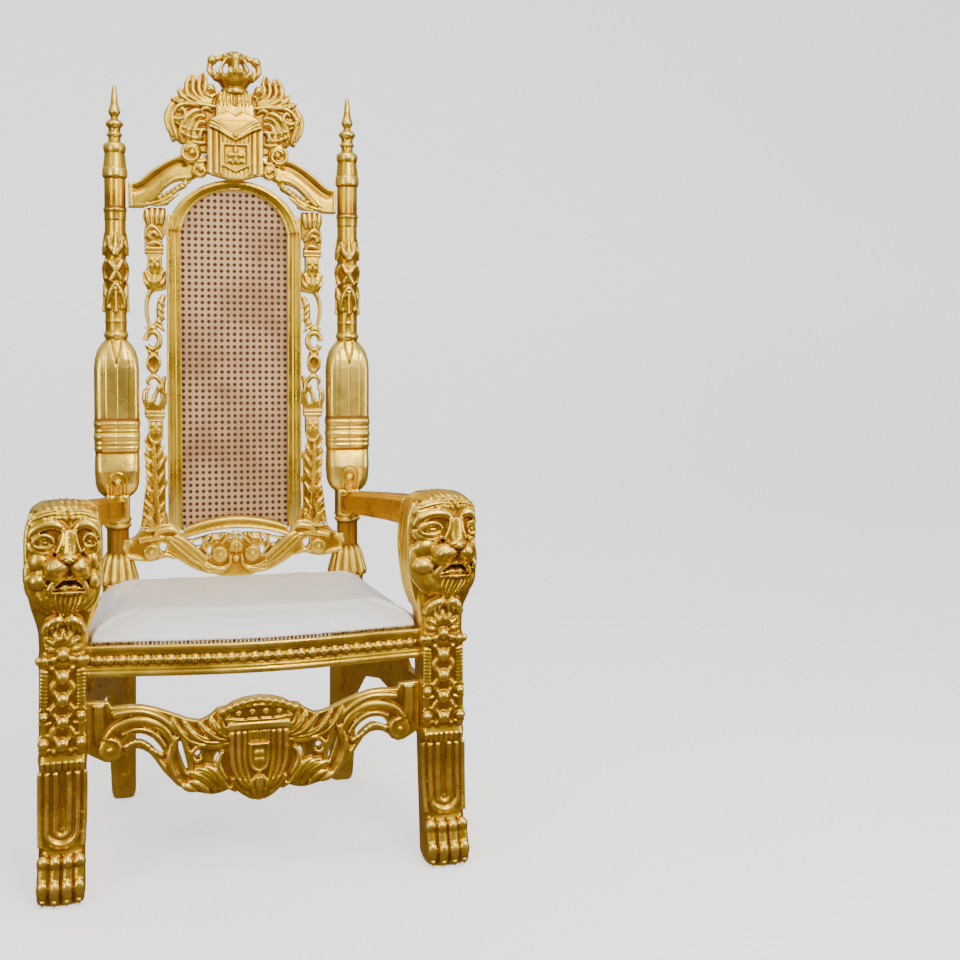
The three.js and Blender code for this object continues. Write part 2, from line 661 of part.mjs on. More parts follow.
function stretcher() {
  const half = [[0, 384], [28, 381], [80, 364], [97, 350], [118, 338], [150, 346], [190, 362],
    [225, 377], [265, 380], [300, 376], [303, 392], [360, 395], [360, 290], [326, 273], [302, 264],
    [286, 270], [272, 284], [250, 291], [224, 278], [195, 240], [166, 206], [132, 190], [96, 180],
    [64, 188], [42, 186], [0, 159]];
  const front = STRETCHER_FRONT;
  const cutFrom = front - 40;
  const cutTo = STRETCHER_BACK + 20;
  const openings = [
    [[272, 300], [262, 318], [238, 321], [210, 302], [192, 272], [202, 270], [224, 295], [244, 308]],
    [[156, 302], [164, 286], [158, 250], [144, 224], [150, 262]],
    [[76, 262], [94, 240], [84, 222]],
    [[120, 276], [132, 276], [126, 264]],
  ];
  const slots = joined(openings.map((edge) => plate(polygon(edge), cutFrom, cutTo)));
  const raised = joined([
    stroke([[322, 318], [300, 348], [256, 355], [206, 334], [176, 296]], [8, 13, 8], 8, front),
    stroke([[186, 352], [130, 324], [72, 298]], [8, 22, 14], 9, front, { steps: 2 }),
    stroke([[146, 240], [112, 214], [80, 196]], [10, 24, 10], 9, front, { steps: 2 }),
    boss(300, 296, 26, front - 8, front + 2), point(300, front - 7, 296, 11, 8, 11),
    box(40, 50, front - 12, front - 4, 222, 312), box(22, 31, front - 12, front - 4, 200, 312),
  ]);
  const shieldShape = symmetric([[0, 313], [60, 313], [62, 244], [48, 206], [0, 164]]);
  const innerShield = symmetric([[0, 288], [17, 288], [17, 244], [0, 226]]);
  const body = plate(symmetric(half), front, STRETCHER_BACK).subtract(both(slots));
  const coronet = box(-66, 66, front - 13, front + 2, 314, 331);
  return joined([
    body, both(raised), coronet,
    plate(shieldShape, front - 8, front + 2), plate(innerShield, front - 16, front - 6),
  ]).subtract(legsCleared);
}
add('front_stretcher', stretcher(), GILT);

// ---------- side aprons: an arched panel with slots round it, under each side rail ----------

function sideApron() {
  const end = SIDE_LENGTH;
  const outline = [[0, RAIL_LOW - GAP], [end - 190, RAIL_LOW - GAP], [end - 150, 436],
    [end - 116, 412], [end - 96, 396], [end, 394], [end, 286], [end - 70, 268], [end - 100, 286],
    [end - 160, 322], [end - 250, 336], [150, 312], [96, 262], [64, 236], [0, 236]];
  const slots = [];
  for (let i = 0; i < 5; i++) {
    const angle = Math.PI * (0.2 + 0.15 * i);
    const x = end / 2 - 10 + 122 * Math.cos(angle);
    const z = 332 + 82 * Math.sin(angle);
    const edge = [[x - 9, z - 4], [x + 8, z + 7], [x + 9, z - 3], [x - 7, z - 11]];
    slots.push(plate(polygon(edge), -40, 40));
  }
  return alongSide(plate(polygon(outline), -10, 10).subtract(joined(slots)));
}
addPair('side_apron', sideApron(), GILT);

// The origin is on the floor, under the middle of the throne's box.
const bounds = new THREE.Box3().setFromObject(throne);
throne.position.y = -(bounds.min.y + bounds.max.y) / 2;

export default throne;
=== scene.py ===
import json
import math

import bmesh
import bpy
import numpy as np
from mathutils import Matrix, Vector

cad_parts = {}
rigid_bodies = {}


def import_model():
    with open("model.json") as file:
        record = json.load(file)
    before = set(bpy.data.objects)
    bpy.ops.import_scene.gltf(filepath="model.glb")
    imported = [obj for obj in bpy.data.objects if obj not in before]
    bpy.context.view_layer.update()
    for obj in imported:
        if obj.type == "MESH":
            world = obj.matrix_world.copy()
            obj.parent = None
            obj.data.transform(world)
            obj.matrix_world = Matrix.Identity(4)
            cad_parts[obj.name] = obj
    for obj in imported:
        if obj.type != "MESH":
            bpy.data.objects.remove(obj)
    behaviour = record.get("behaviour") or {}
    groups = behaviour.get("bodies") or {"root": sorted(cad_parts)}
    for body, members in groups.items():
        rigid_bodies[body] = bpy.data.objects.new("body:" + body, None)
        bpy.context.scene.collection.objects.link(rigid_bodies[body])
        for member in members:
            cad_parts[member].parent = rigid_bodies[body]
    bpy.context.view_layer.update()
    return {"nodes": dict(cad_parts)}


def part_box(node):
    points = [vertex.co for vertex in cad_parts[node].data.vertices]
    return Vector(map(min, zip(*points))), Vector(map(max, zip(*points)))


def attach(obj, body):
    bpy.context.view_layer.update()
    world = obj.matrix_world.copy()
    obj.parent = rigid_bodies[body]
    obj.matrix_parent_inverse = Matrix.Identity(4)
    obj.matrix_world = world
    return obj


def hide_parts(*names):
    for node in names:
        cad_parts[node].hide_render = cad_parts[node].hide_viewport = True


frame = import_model()

# ---------------------------------------------------------------------------
# Carved wood. Every gilt piece of the throne is one carving in a light hardwood: sawn boards,
# turned lengths and lumps left standing, with leaves, scrolls and beads cut into them.
# Places are in millimetres: x from the middle, y from the rear posts' centre line, z from the floor.
# ---------------------------------------------------------------------------

MM = 0.001
RAIL_BACK = 2  # the crest rail's back stands this far behind the posts' centre line
POST_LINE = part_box("crest_rail")[1].y / MM - RAIL_BACK


def place(x, y, z):
    """A place given in millimetres, in the frame's metres."""
    return Vector((x, y + POST_LINE, z)) * MM


def smooth_line(points, closed=False, steps=8):
    """The smooth line that a carver's pencil draws through a few points, as an array of places."""
    p = np.array(points, float)
    n = len(p)
    if n < 3 and not closed:
        t = np.linspace(0, 1, steps + 1)[:, None]
        return p[0] * (1 - t) + p[1] * t
    rows = []
    for i in range(n if closed else n - 1):
        a, b, c, d = (p[(i + k) % n] if closed else p[min(max(i + k, 0), n - 1)] for k in (-1, 0, 1, 2))
        t = np.arange(steps)[:, None] / steps
        square, cube = 2 * a - 5 * b + 4 * c - d, 3 * b - a - 3 * c + d
        rows.append(0.5 * (2 * b + (c - a) * t + square * t**2 + cube * t**3))
    if not closed:
        rows.append(p[-1:])
    return np.concatenate(rows)


class Carving:
    """Wood that is built up from boards, lumps and strands, and then cut as one piece."""

    def __init__(self, name):
        self.name = name
        self.bm = bmesh.new()

    def take(self, curve, flat=1.0, front=0.0):
        """Adds a curve object's mesh, squeezed in depth about the front face."""
        holder = bpy.data.objects.new("strand", curve)
        mesh = bpy.data.meshes.new_from_object(holder)
        bpy.data.objects.remove(holder)
        bpy.data.curves.remove(curve)
        if flat != 1.0:
            level = place(0, front, 0).y
            mesh.transform(Matrix.Translation((0, level, 0)) @ Matrix.Diagonal((1, flat, 1, 1))
                           @ Matrix.Translation((0, -level, 0)))
        self.bm.from_mesh(mesh)
        bpy.data.meshes.remove(mesh)

    def strand(self, points, widths, front, rise=None, closed=False):
        """A stem, lock or leaf lobe: half widths along a line on the face, and how far it stands out."""
        curve = bpy.data.curves.new("strand", "CURVE")
        curve.dimensions = "3D"
        curve.bevel_depth = MM
        curve.bevel_resolution = 2
        curve.use_fill_caps = True
        line = smooth_line(points, closed, 5)
        around = np.linspace(0, len(widths) - 1, len(line))
        radii = np.interp(around, range(len(widths)), widths)
        spline = curve.splines.new("POLY")
        spline.points.add(len(line) - 1)
        for knot, spot, radius in zip(spline.points, line, radii):
            where = place(spot[0], front, spot[1]) if len(spot) == 2 else place(*spot)
            knot.co = (*where, 1)
            knot.radius = max(radius, 0.3)
        spline.use_cyclic_u = closed
        flat = 1.0 if rise is None else rise / max(widths)
        level = front if len(line[0]) == 2 else float(np.mean(line[:, 1]))
        self.take(curve, flat, level)

    def lump(self, x, y, z, rx, ry=None, rz=None, turn=0.0, lean=0.0):
        """A rounded lump, turned in the face's plane by some degrees or leaned forward."""
        size = Matrix.Diagonal((rx, ry or rx, rz or rx, 1 / MM)) * MM
        spin = Matrix.Rotation(math.radians(turn), 4, "Y") @ Matrix.Rotation(math.radians(lean), 4, "X")
        bmesh.ops.create_uvsphere(self.bm, u_segments=20, v_segments=12, radius=1,
                                  matrix=Matrix.Translation(place(x, y, z)) @ spin @ size)

    def board(self, outline, front, back, holes=(), edge=1.5, smooth=False):
        """A board sawn to an outline of (x, z), with pierced holes and eased edges."""
        curve = bpy.data.curves.new("board", "CURVE")
        curve.dimensions = "2D"
        curve.fill_mode = "BOTH"
        middle = (front + back) / 2
        curve.extrude = ((back - front) / 2 - edge) * MM
        curve.bevel_depth = edge * MM
        curve.bevel_resolution = 1
        curve.offset = -edge * MM
        overlap = 3  # a half outline's edge on the middle line goes this far past it
        for number, ring in enumerate([outline, *holes]):
            line = smooth_line(ring, True, 5) if smooth or number else [(x or -overlap, z) for x, z in ring]
            spline = curve.splines.new("POLY")
            spline.points.add(len(line) - 1)
            for knot, (x, z) in zip(spline.points, line):
                knot.co = (x * MM, z * MM, 0, 1)
            spline.use_cyclic_u = True
        holder = bpy.data.objects.new("board", curve)
        mesh = bpy.data.meshes.new_from_object(holder)
        bpy.data.objects.remove(holder)
        mesh.transform(Matrix.Translation(place(0, middle, 0)) @ Matrix.Rotation(math.pi / 2, 4, "X"))
        sheet = bmesh.new()
        sheet.from_mesh(mesh)
        bmesh.ops.remove_doubles(sheet, verts=sheet.verts, dist=0.02 * MM)
        bmesh.ops.recalc_face_normals(sheet, faces=sheet.faces)
        sheet.to_mesh(mesh)
        sheet.free()
        self.bm.from_mesh(mesh)
        bpy.data.meshes.remove(mesh)
        bpy.data.curves.remove(curve)

    def turning(self, profile, x, y, sides=40):
        """A length turned on the lathe: (radius, z) from the bottom up."""
        lathe = bmesh.new()
        ring = [lathe.verts.new(place(x + radius, y, z)) for radius, z in
                [(0, profile[0][1]), *profile, (0, profile[-1][1])]]
        edges = [lathe.edges.new(pair) for pair in zip(ring, ring[1:])]
        bmesh.ops.spin(lathe, geom=ring + edges, cent=place(x, y, 0), axis=(0, 0, 1), angle=2 * math.pi,
                       steps=sides, use_merge=True)
        bmesh.ops.remove_doubles(lathe, verts=lathe.verts, dist=0.02 * MM)
        bmesh.ops.recalc_face_normals(lathe, faces=lathe.faces)
        self.merge(lathe)

    def column(self, rows, sides=32):
        """Wood of changing section: (z, x, half width, front, back, squareness), 2 being an ellipse."""
        tube = bmesh.new()
        rings = []
        for z, x, half, front, back, squareness in rows:
            ring = bmesh.ops.create_circle(tube, segments=sides, radius=1)["verts"]
            rings.append(list({edge for vert in ring for edge in vert.link_edges}))
            for vert in ring:
                power = 2 / squareness
                across = math.copysign(abs(vert.co.x) ** power, vert.co.x)
                deep = math.copysign(abs(vert.co.y) ** power, vert.co.y)
                vert.co = place(x + half * across, (front + back) / 2 + (back - front) / 2 * deep, z)
        for low, high in zip(rings, rings[1:]):
            bmesh.ops.bridge_loops(tube, edges=low + high)
        bmesh.ops.holes_fill(tube, edges=[e for e in tube.edges if e.is_boundary], sides=0)
        bmesh.ops.recalc_face_normals(tube, faces=tube.faces)
        self.merge(tube)

    def merge(self, other):
        mesh = bpy.data.meshes.new("part")
        other.to_mesh(mesh)
        other.free()
        self.bm.from_mesh(mesh)
        bpy.data.meshes.remove(mesh)

    def both_sides(self):
        """Repeats what has been built so far on the other side of the middle."""
        twin = self.bm.copy()
        bmesh.ops.scale(twin, vec=(-1, 1, 1), verts=twin.verts)
        bmesh.ops.reverse_faces(twin, faces=twin.faces)
        self.merge(twin)

    def fuse(self, grain, rub=2):
        """Makes one skin of all the parts, as fine as grain, and rubs it smooth."""
        mesh = bpy.data.meshes.new(self.name)
        self.bm.to_mesh(mesh)
        self.bm.free()
        rough = bpy.data.objects.new(self.name, mesh)
        bpy.context.scene.collection.objects.link(rough)
        skin = rough.modifiers.new("skin", "REMESH")
        skin.mode = "VOXEL"
        skin.voxel_size = grain * MM
        rubbed = rough.modifiers.new("rubbed", "SMOOTH")
        rubbed.factor = 0.5
        rubbed.iterations = rub
        self.mesh = applied(rough)
        self.read()

    def read(self):
        count = len(self.mesh.vertices)
        flat = np.empty(count * 3, np.float32)
        self.mesh.vertices.foreach_get("co", flat)
        self.spots = flat.reshape(-1, 3) / MM - (0, POST_LINE, 0)
        self.mesh.vertex_normals.foreach_get("vector", flat)
        self.facing = flat.reshape(-1, 3).copy()

    def gouge(self, line, width, depth, steps=8):
        """Cuts a rounded groove along a line; a depth below nothing raises a ridge instead."""
        path = smooth_line(line, False, steps)
        spots = self.spots[:, (0, 2)]
        facing = -self.facing[:, 1]
        near = np.all((spots > path.min(0) - width) & (spots < path.max(0) + width), 1) & (facing > 0.15)
        index = np.nonzero(near)[0]
        if len(index) == 0:
            return
        gap = np.full(len(index), 1e9)
        for a, b in zip(path, path[1:]):
            span = b - a
            t = np.clip(((spots[index] - a) @ span) / max(span @ span, 1e-9), 0, 1)
            gap = np.minimum(gap, np.hypot(*(spots[index] - a - t[:, None] * span).T))
        cut = np.clip(1 - (gap / width) ** 2, 0, 1) ** 1.5 * depth * np.clip(facing[index] * 2, 0, 1)
        self.spots[index] -= self.facing[index] * cut[:, None]

    def settle(self):
        """Puts the cut places back into the skin, and finds which way it faces now."""
        flat = ((self.spots + (0, POST_LINE, 0)) * MM).astype(np.float32).ravel()
        self.mesh.vertices.foreach_set("co", flat)
        self.mesh.update()
        self.read()

    def finish(self, triangles, rub=1):
        """The finished piece, with at most this many triangles and its relief noted, which the gilding paints
        as glaze and painted shade in hollows and as a painted highlight on ridges.
        """
        self.settle()
        piece = bpy.data.objects.new(self.name, self.mesh)
        bpy.context.scene.collection.objects.link(piece)
        if rub:
            rubbed = piece.modifiers.new("rubbed", "SMOOTH")
            rubbed.factor = 0.4
            rubbed.iterations = rub
        have = 2 * len(self.mesh.polygons)
        if have > triangles:
            fewer = piece.modifiers.new("fewer", "DECIMATE")
            fewer.ratio = triangles / have
        self.mesh = applied(piece)
        note_relief(self.mesh)
        self.mesh.shade_smooth()
        piece = bpy.data.objects.new(self.name, self.mesh)
        bpy.context.scene.collection.objects.link(piece)
        return piece


def applied(holder):
    """The mesh of an object after its modifiers; the object itself goes."""
    graph = bpy.context.evaluated_depsgraph_get()
    mesh = bpy.data.meshes.new_from_object(holder.evaluated_get(graph), depsgraph=graph)
    bpy.data.objects.remove(holder)
    return mesh


def note_relief(mesh):
    """Notes for every point how far it stands out of its surroundings, in millimetres."""
    count = len(mesh.vertices)
    flat = np.empty(count * 3, np.float32)
    mesh.vertices.foreach_get("co", flat)
    start = flat.reshape(-1, 3) / MM
    mesh.vertex_normals.foreach_get("vector", flat)
    facing = flat.reshape(-1, 3)
    ends = np.empty(len(mesh.edges) * 2, np.int32)
    mesh.edges.foreach_get("vertices", ends)
    a, b = ends[0::2], ends[1::2]
    links = np.bincount(a, minlength=count) + np.bincount(b, minlength=count)
    spread = start.copy()
    relief = np.zeros(count)
    for round_number in range(48):
        total = np.stack([np.bincount(a, spread[b, k], count) + np.bincount(b, spread[a, k], count)
                          for k in range(3)], 1)
        spread = 0.4 * spread + 0.6 * total / links[:, None]
        if round_number in (7, 47):
            relief += ((start - spread) * facing).sum(1)
    relief = 0.5 * relief + 0.5 * (np.bincount(a, relief[b], count) + np.bincount(b, relief[a],
                                                                                  count)) / links
    note = mesh.attributes.new("relief", "FLOAT", "POINT")
    note.data.foreach_set("value", relief.astype(np.float32))


def other_side(piece, name):
    """The same carving for the other side of the throne."""
    mesh = piece.data.copy()
    mesh.transform(Matrix.Diagonal((-1, 1, 1, 1)))
    mesh.flip_normals()
    twin = bpy.data.objects.new(name, mesh)
    bpy.context.scene.collection.objects.link(twin)
    return twin


def fix_to_throne(piece, slot, *nodes):
    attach(piece, "root")
    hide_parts(*nodes)


# ---------------------------------------------------------------------------
# Gilding. Gold leaf on red bole over gesso, burnished on the high places, with an amber-brown glaze left in
# the hollows.
# The colour is also painted from the relief: hollows get painted shade on top of the glaze, low places turn
# amber as painted shade, and high places turn pale as a painted highlight. Low down the leaf has worn through
# to the bole.
# ---------------------------------------------------------------------------


def node(tree, kind, settings=None, **sockets):
    made = tree.nodes.new(kind)
    for key, value in (settings or {}).items():
        setattr(made, key, value)
    for key, value in sockets.items():
        socket = made.inputs[int(key[1:])] if key[1:].isdigit() else made.inputs[key.replace("_", " ")]
        if isinstance(value, bpy.types.NodeSocket):
            tree.links.new(value, socket)
        else:
            socket.default_value = value
    return made


def math_of(tree, operation, a, b=0.0, clamp=False):
    return node(tree, "ShaderNodeMath", {"operation": operation, "use_clamp": clamp}, i0=a, i1=b).outputs[0]


def between(tree, value, low, high, start=0.0, end=1.0):
    """A value between low and high becomes one between start and end."""
    settings = {"interpolation_type": "SMOOTHSTEP"}
    made = node(tree, "ShaderNodeMapRange", settings, i0=value, i1=low, i2=high, i3=start, i4=end)
    return made.outputs[0]


def mixed(tree, share, a, b):
    settings = {"data_type": "RGBA"}
    made = node(tree, "ShaderNodeMix", settings, i0=share, i6=a, i7=b)
    return made.outputs[2]


def noise(tree, where, scale, detail=3.0, rough=0.5):
    return node(tree, "ShaderNodeTexNoise", None, Vector=where, Scale=scale, Detail=detail, Roughness=rough)


# pale gold for high places: the burnish together with a painted highlight
LEAF_BURNISH_HIGHLIGHT = (0.90, 0.64, 0.11, 1)
LEAF_GOLD = (0.74, 0.46, 0.028, 1)
# amber for low places: painted shade, mixed with random unevenness
LEAF_AMBER_SHADE = (0.45, 0.215, 0.009, 1)
# dark brown for hollows: glaze together with painted shade
GLAZE_AND_SHADE_BROWN = (0.17, 0.058, 0.004, 1)
BOLE_RED = (0.22, 0.055, 0.012, 1)


def gold_leaf(name, wear=0.25, tone=0.0):
    material = bpy.data.materials.new(name)
    material.use_nodes = True
    tree = material.node_tree
    shader = tree.nodes["Principled BSDF"]
    where = node(tree, "ShaderNodeTexCoord").outputs["Object"]
    relief = node(tree, "ShaderNodeAttribute", {"attribute_name": "relief"}).outputs["Fac"]
    cloud = noise(tree, where, 14.0, 4.0, 0.6).outputs[0]
    fine = noise(tree, where, 160.0, 3.0, 0.6).outputs[0]
    height = node(tree, "ShaderNodeSeparateXYZ", None, Vector=where).outputs[2]
    uneven = math_of(tree, "MULTIPLY", math_of(tree, "SUBTRACT", cloud, 0.5), 3.0)
    level = math_of(tree, "ADD", math_of(tree, "ADD", relief, uneven), tone)
    # painted shade: the lower the relief, the more the gold turns amber; the cloud noise adds random
    # unevenness
    unshaded_share = between(tree, level, -2.2, 0.6)
    color = mixed(tree, unshaded_share, LEAF_AMBER_SHADE, LEAF_GOLD)
    # painted highlight: the higher the relief, the paler the gold, along with the burnish
    burnish_and_highlight = between(tree, level, 0.4, 3.2)
    color = mixed(tree, burnish_and_highlight, color, LEAF_BURNISH_HIGHLIGHT)
    # glaze in the hollows together with painted shade there; it also lowers the metal and raises the
    # roughness
    hollow = between(tree, math_of(tree, "ADD", relief, uneven), -5.5, -1.4, 0.9, 0.0)
    color = mixed(tree, hollow, color, GLAZE_AND_SHADE_BROWN)
    low_down = between(tree, height, 0.05, 0.75, 1.0, 0.25)
    patch = noise(tree, where, 26.0, 5.0, 0.7).outputs[0]
    worn = between(tree, patch, 0.60, 0.72)
    worn = math_of(tree, "MULTIPLY", math_of(tree, "MULTIPLY", worn, low_down), wear, True)
    color = mixed(tree, worn, color, BOLE_RED)
    tree.links.new(color, shader.inputs["Base Color"])
    metal = math_of(tree, "SUBTRACT", 0.96,
                    math_of(tree, "ADD", math_of(tree, "MULTIPLY", hollow, 0.35), worn), True)
    tree.links.new(metal, shader.inputs["Metallic"])
    rough = math_of(tree, "ADD", between(tree, cloud, 0.3, 0.7, 0.24, 0.38),
                    math_of(tree, "MULTIPLY", hollow, 0.3))
    tree.links.new(rough, shader.inputs["Roughness"])
    brushed = node(tree, "ShaderNodeBump", None, Strength=0.35, Distance=0.0006, Height=fine)
    worked = node(tree, "ShaderNodeBump", None, Strength=0.22, Distance=0.003, Height=patch,
                  Normal=brushed.outputs[0])
    tree.links.new(worked.outputs[0], shader.inputs["Normal"])
    return material


gilding = gold_leaf("gilding")

# ---------------------------------------------------------------------------
# Front legs. Each is one carving: a lion's head with mane and beard at the arm's end, a palmette,
# a shin with a plait round balls, a fluted ankle and a paw. The two mirror each other, but for the
# turn of their heads.
# ---------------------------------------------------------------------------

leg_low, leg_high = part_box("front_leg_right")
HEAD_X = (leg_low.x + leg_high.x) / 2 / MM
FOOT_X = HEAD_X + 10
LEG_ROWS = [  # z, x, half width, front, back, squareness
    (0, FOOT_X + 1, 42, -590, -497, 3.2),
    (14, FOOT_X + 1, 47, -594, -491, 3.4),
    (60, FOOT_X, 46, -588, -489, 4),
    (105, 395, 45, -572, -489, 4.5),
    (190, 393, 45.5, -562, -490, 5),
    (262, 392, 46, -564, -487, 5),
    (285, 392, 48, -571, -484, 6),
    (300, 392, 46, -567, -484, 6),
    (470, 389, 46.5, -574, -474, 6),
    (480, 389, 49, -580, -472, 6),
    (505, 388, 47, -574, -472, 5),
    (540, 387.5, 49, -573, -470, 4.5),
    (575, HEAD_X, 58, -577, -465, 4),
    (612, HEAD_X, 68, -580, -462, 3.6),
    (660, HEAD_X, 71.5, -580, -458, 3.4),
    (730, HEAD_X, 72, -578, -456, 3.4),
    (768, HEAD_X, 69, -577, -457, 3.2),
    (790, HEAD_X, 61, -570, -464, 3),
    (800, HEAD_X, 46, -556, -478, 2.6),
]
leg_heights = [row[0] for row in LEG_ROWS]


def leg_front(z):
    return float(np.interp(z, leg_heights, [row[3] for row in LEG_ROWS]))


def leg_middle(z):
    return float(np.interp(z, leg_heights, [row[1] for row in LEG_ROWS]))


def on_leg(points, out=0.0):
    """Places on the leg's front face, given across from its middle and up from the floor."""
    return [(leg_middle(z) + x, leg_front(z) - out, z) for x, z in points]


leg = Carving("lion_leg_right")
leg.column(LEG_ROWS, 48)
face = leg_front(700)

for side in (-1, 1):
    def lock(points, widths, out=0.0, rise=None):
        leg.strand(on_leg([(side * x, z) for x, z in points], out), widths, 0, rise)

    def knob(x, z, r, out, ry=None, rz=None):
        leg.lump(leg_middle(z) + side * x, leg_front(z) - out, z, r, ry, rz)

    # brow, cheekbone and bridge
    lock([(9, 746), (20, 758), (40, 760), (58, 750), (66, 734)], [6, 10, 10, 9, 5], 1, 9)
    lock([(4, 776), (26, 780), (50, 774), (64, 758)], [9, 12, 12, 8], -4, 9)
    lock([(10, 748), (13, 726), (22, 704)], [5, 7, 6], 7)
    lock([(26, 712), (42, 704), (60, 712), (67, 728)], [5, 8, 8, 4], 0)
    # eye: ball, upper and lower lid
    knob(42, 729, 12, -2, 12, 10.5)
    knob(42, 716, 17, -8, 14, 13)
    lock([(27, 726), (34, 738), (46, 741), (58, 733), (61, 724)], [2.5, 4, 4, 3.5, 2], 8)
    lock([(28, 724), (38, 716), (52, 717), (60, 724)], [2, 3.5, 3.5, 2], 7)
    # muzzle pad, lip and cheek
    leg.lump(HEAD_X + side * 22, face - 10, 680, 24, 26, 20, side * 14)
    leg.lump(HEAD_X + side * 27, face - 5, 664, 20, 20, 14)
    lock([(14, 657), (28, 646), (36, 634), (34, 622)], [6, 7, 6, 3], 8)
    knob(54, 650, 15, 0, 15, 17)
    knob(50, 688, 18, -3, 14, 22)
    knob(44, 664, 20, -8, 18, 20)
    lock([(64, 690), (67, 668), (62, 630), (50, 604), (34, 588)], [7, 10, 11, 10, 6], -5, 9)
    lock([(50, 636), (43, 614), (30, 600), (12, 590)], [8, 12, 11, 6], 0, 9)
    # beard strands and the two tufts under them
    for x, foot, wide in ((5, 574, 5), (14, 578, 5), (23, 588, 5), (32, 600, 4)):
        lock([(x * 1.15, 628), (x * 1.05, 604), (x * 0.6, foot)], [wide, wide, 2], 6)
    lock([(1, 566), (14, 571), (30, 562), (41, 546)], [6, 11, 10, 6], 4)
    for x in (8, 18, 28, 37):
        lock([(x - 3, 575 - x * 0.25), (x + 2, 562 - x * 0.35), (x + 3, 549 - x * 0.15)], [2, 3, 1.5], 13)
    # palmette
    for turn, length, wide in ((0, 44, 6.5), (24, 43, 7), (48, 40, 7), (74, 36, 5)):
        angle = math.radians(turn)
        tip = (length * math.sin(angle), 506 + length * math.cos(angle))
        belly = (0.62 * tip[0], 506 + 0.62 * (tip[1] - 506))
        lock([(2 * math.sin(angle), 508), belly, tip], [2, wide, 3], 1, 6)
    # ball row under it
    knob(18, 493, 7.5, 1)
    knob(34, 491, 8, 1, 8, 9)
    knob(46, 490, 7, -3, 8, 9)
    # shin: side strips with ticks, balls on the edges
    lock([(36, 472), (36, 300)], [9, 9], -4, 6)
    for i in range(13):
        z = 466 - i * 7.5
        leg.strand(on_leg([(side * 29, z), (side * 44, z + 2)], 1), [2.2, 2.2], 0)
    for z, r in ((376, 10), (322, 12)):
        knob(36, z, r, 1, r, r * 0.85)
        lock([(22, z + 13), (36, z + 16), (46, z + 10)], [3, 4, 3], 0)
        lock([(22, z - 13), (36, z - 16), (46, z - 10)], [3, 4, 3], 0)
    # plait round the balls
    knots = [(20 * math.cos(math.pi * i / 6), 478 - i * 46 / 6) for i in range(24)]
    lock(knots, [5, 5], 0, 5)
    # fringe of small leaves, and the flutes' ribs
    for x in (6, 17, 28, 39):
        lock([(x, 284), (x, 274), (x, 263)], [4.5, 4.5, 1.5], 0, 4)
    for half, foot in ((29, 114), (13, 132)):
        bend = [(half * math.cos(a), foot + half * (1 - math.sin(a))) for a in np.linspace(0, math.pi / 2, 5)]
        lock([(half, 260), (half, 200), *bend], [6, 6], -1, 5)
    lock([(44, 262), (44, 180), (42, 112)], [5, 5, 5], -3, 5)
    # toes: knuckle, shaft and claw
    for x, out in ((12, 6), (35, 0)):
        knob(x, 84, 13, out, 12, 16)
        lock([(x, 84), (x, 50), (x, 22), (x, 8)], [11.5, 12, 12, 10], out - 2, 9)
        knob(x, 36, 12.5, out + 3, 11, 20)
        lock([(x, 16), (x, 4)], [5, 2.5], out + 6, 4)

leg.lump(HEAD_X, face - 16, 694, 24, 16, 11)
leg.strand(on_leg([(0, 752), (0, 726), (0, 706)], 6), [10, 13, 17], 0)
leg.lump(HEAD_X, leg_front(630) - 4, 627, 27, 15, 6)
leg.lump(leg_middle(502), leg_front(502) - 3, 502, 13)
for z in (455, 409, 363, 318):
    leg.lump(leg_middle(z), leg_front(z) - 1, z, 14, 11, 14)
# mane: wavy locks back from the brow, over the top and down both sides
for side in (-1, 1):
    for i, x in enumerate((6, 19, 32, 45)):
        rise = 803 - i * i * 1.1
        leg.strand([(HEAD_X + side * x, -577, 770), (HEAD_X + side * (x + 1), -566, rise - 12),
                    (HEAD_X + side * (x + 1), -540, rise - 4), (HEAD_X + side * x, -500, rise - 5),
                    (HEAD_X + side * x, -468, rise - 16)], [5, 7.5, 7, 7, 5], 0)
    for i in range(6):
        y = -560 + i * 17
        wave = 3 * (-1) ** i
        leg.strand([(HEAD_X + side * 62, y + 6, 782), (HEAD_X + side * 68, y + wave, 740),
                    (HEAD_X + side * 69, y + 4 - wave, 690), (HEAD_X + side * 67, y + wave, 640),
                    (HEAD_X + side * 58, y + 6, 592), (HEAD_X + side * 46, y + 8, 548)],
                   [4, 7, 7, 7, 7, 3], 0)
leg.fuse(1.9, 5)

# the mouth with its teeth, the furrows and the lines of hair are cut last
def cut_leg(points, width, depth, both=True, **more):
    for side in (-1, 1) if both else (1,):
        leg.gouge([(leg_middle(z) + side * x, z) for x, z in points], width, depth, **more)


cut_leg([(0, 644), (12, 645), (25, 640)], 6, 16)
cut_leg([(4, 641), (4, 634)], 2.6, -5)
cut_leg([(12, 641), (12, 635)], 2.4, -4)
cut_leg([(0, 684), (0, 658)], 3, 5, False)
cut_leg([(0, 683), (10, 690), (26, 703)], 3, 5)
cut_leg([(0, 786), (0, 758)], 3, 2.5, False)
cut_leg([(7, 697), (13, 694)], 3, 4)
for dx in (3, -3):
    cut_leg([(42 + dx, 729), (42 - dx, 730)], 2.5, 1.5, steps=3)
for x, z in ((14, 684), (24, 688), (34, 684), (20, 674), (31, 674)):
    cut_leg([(x, z), (x + 2, z - 5)], 2.0, 1.6)
for z in (790, 784, 777):
    cut_leg([(4, z), (24, z + 2), (46, z - 3), (60, z - 9)], 2.0, 2.0)
for x in (9.5, 18.5, 27.5):
    cut_leg([(x, 626), (x * 0.95, 604), (x * 0.6, 584)], 2.0, 2.5)
bend = [(22 * math.cos(a), 126 + 22 * (1 - math.sin(a))) for a in np.linspace(0, math.pi / 2, 5)]
cut_leg([(22, 256), (22, 200), *bend], 4, 2.5)
cut_leg([(0, 256), (0, 150)], 5, 1.5, False)
for x in (0, 23.5):
    cut_leg([(x, 96), (x, 50), (x, 2)], 2.6, 4, x > 0)

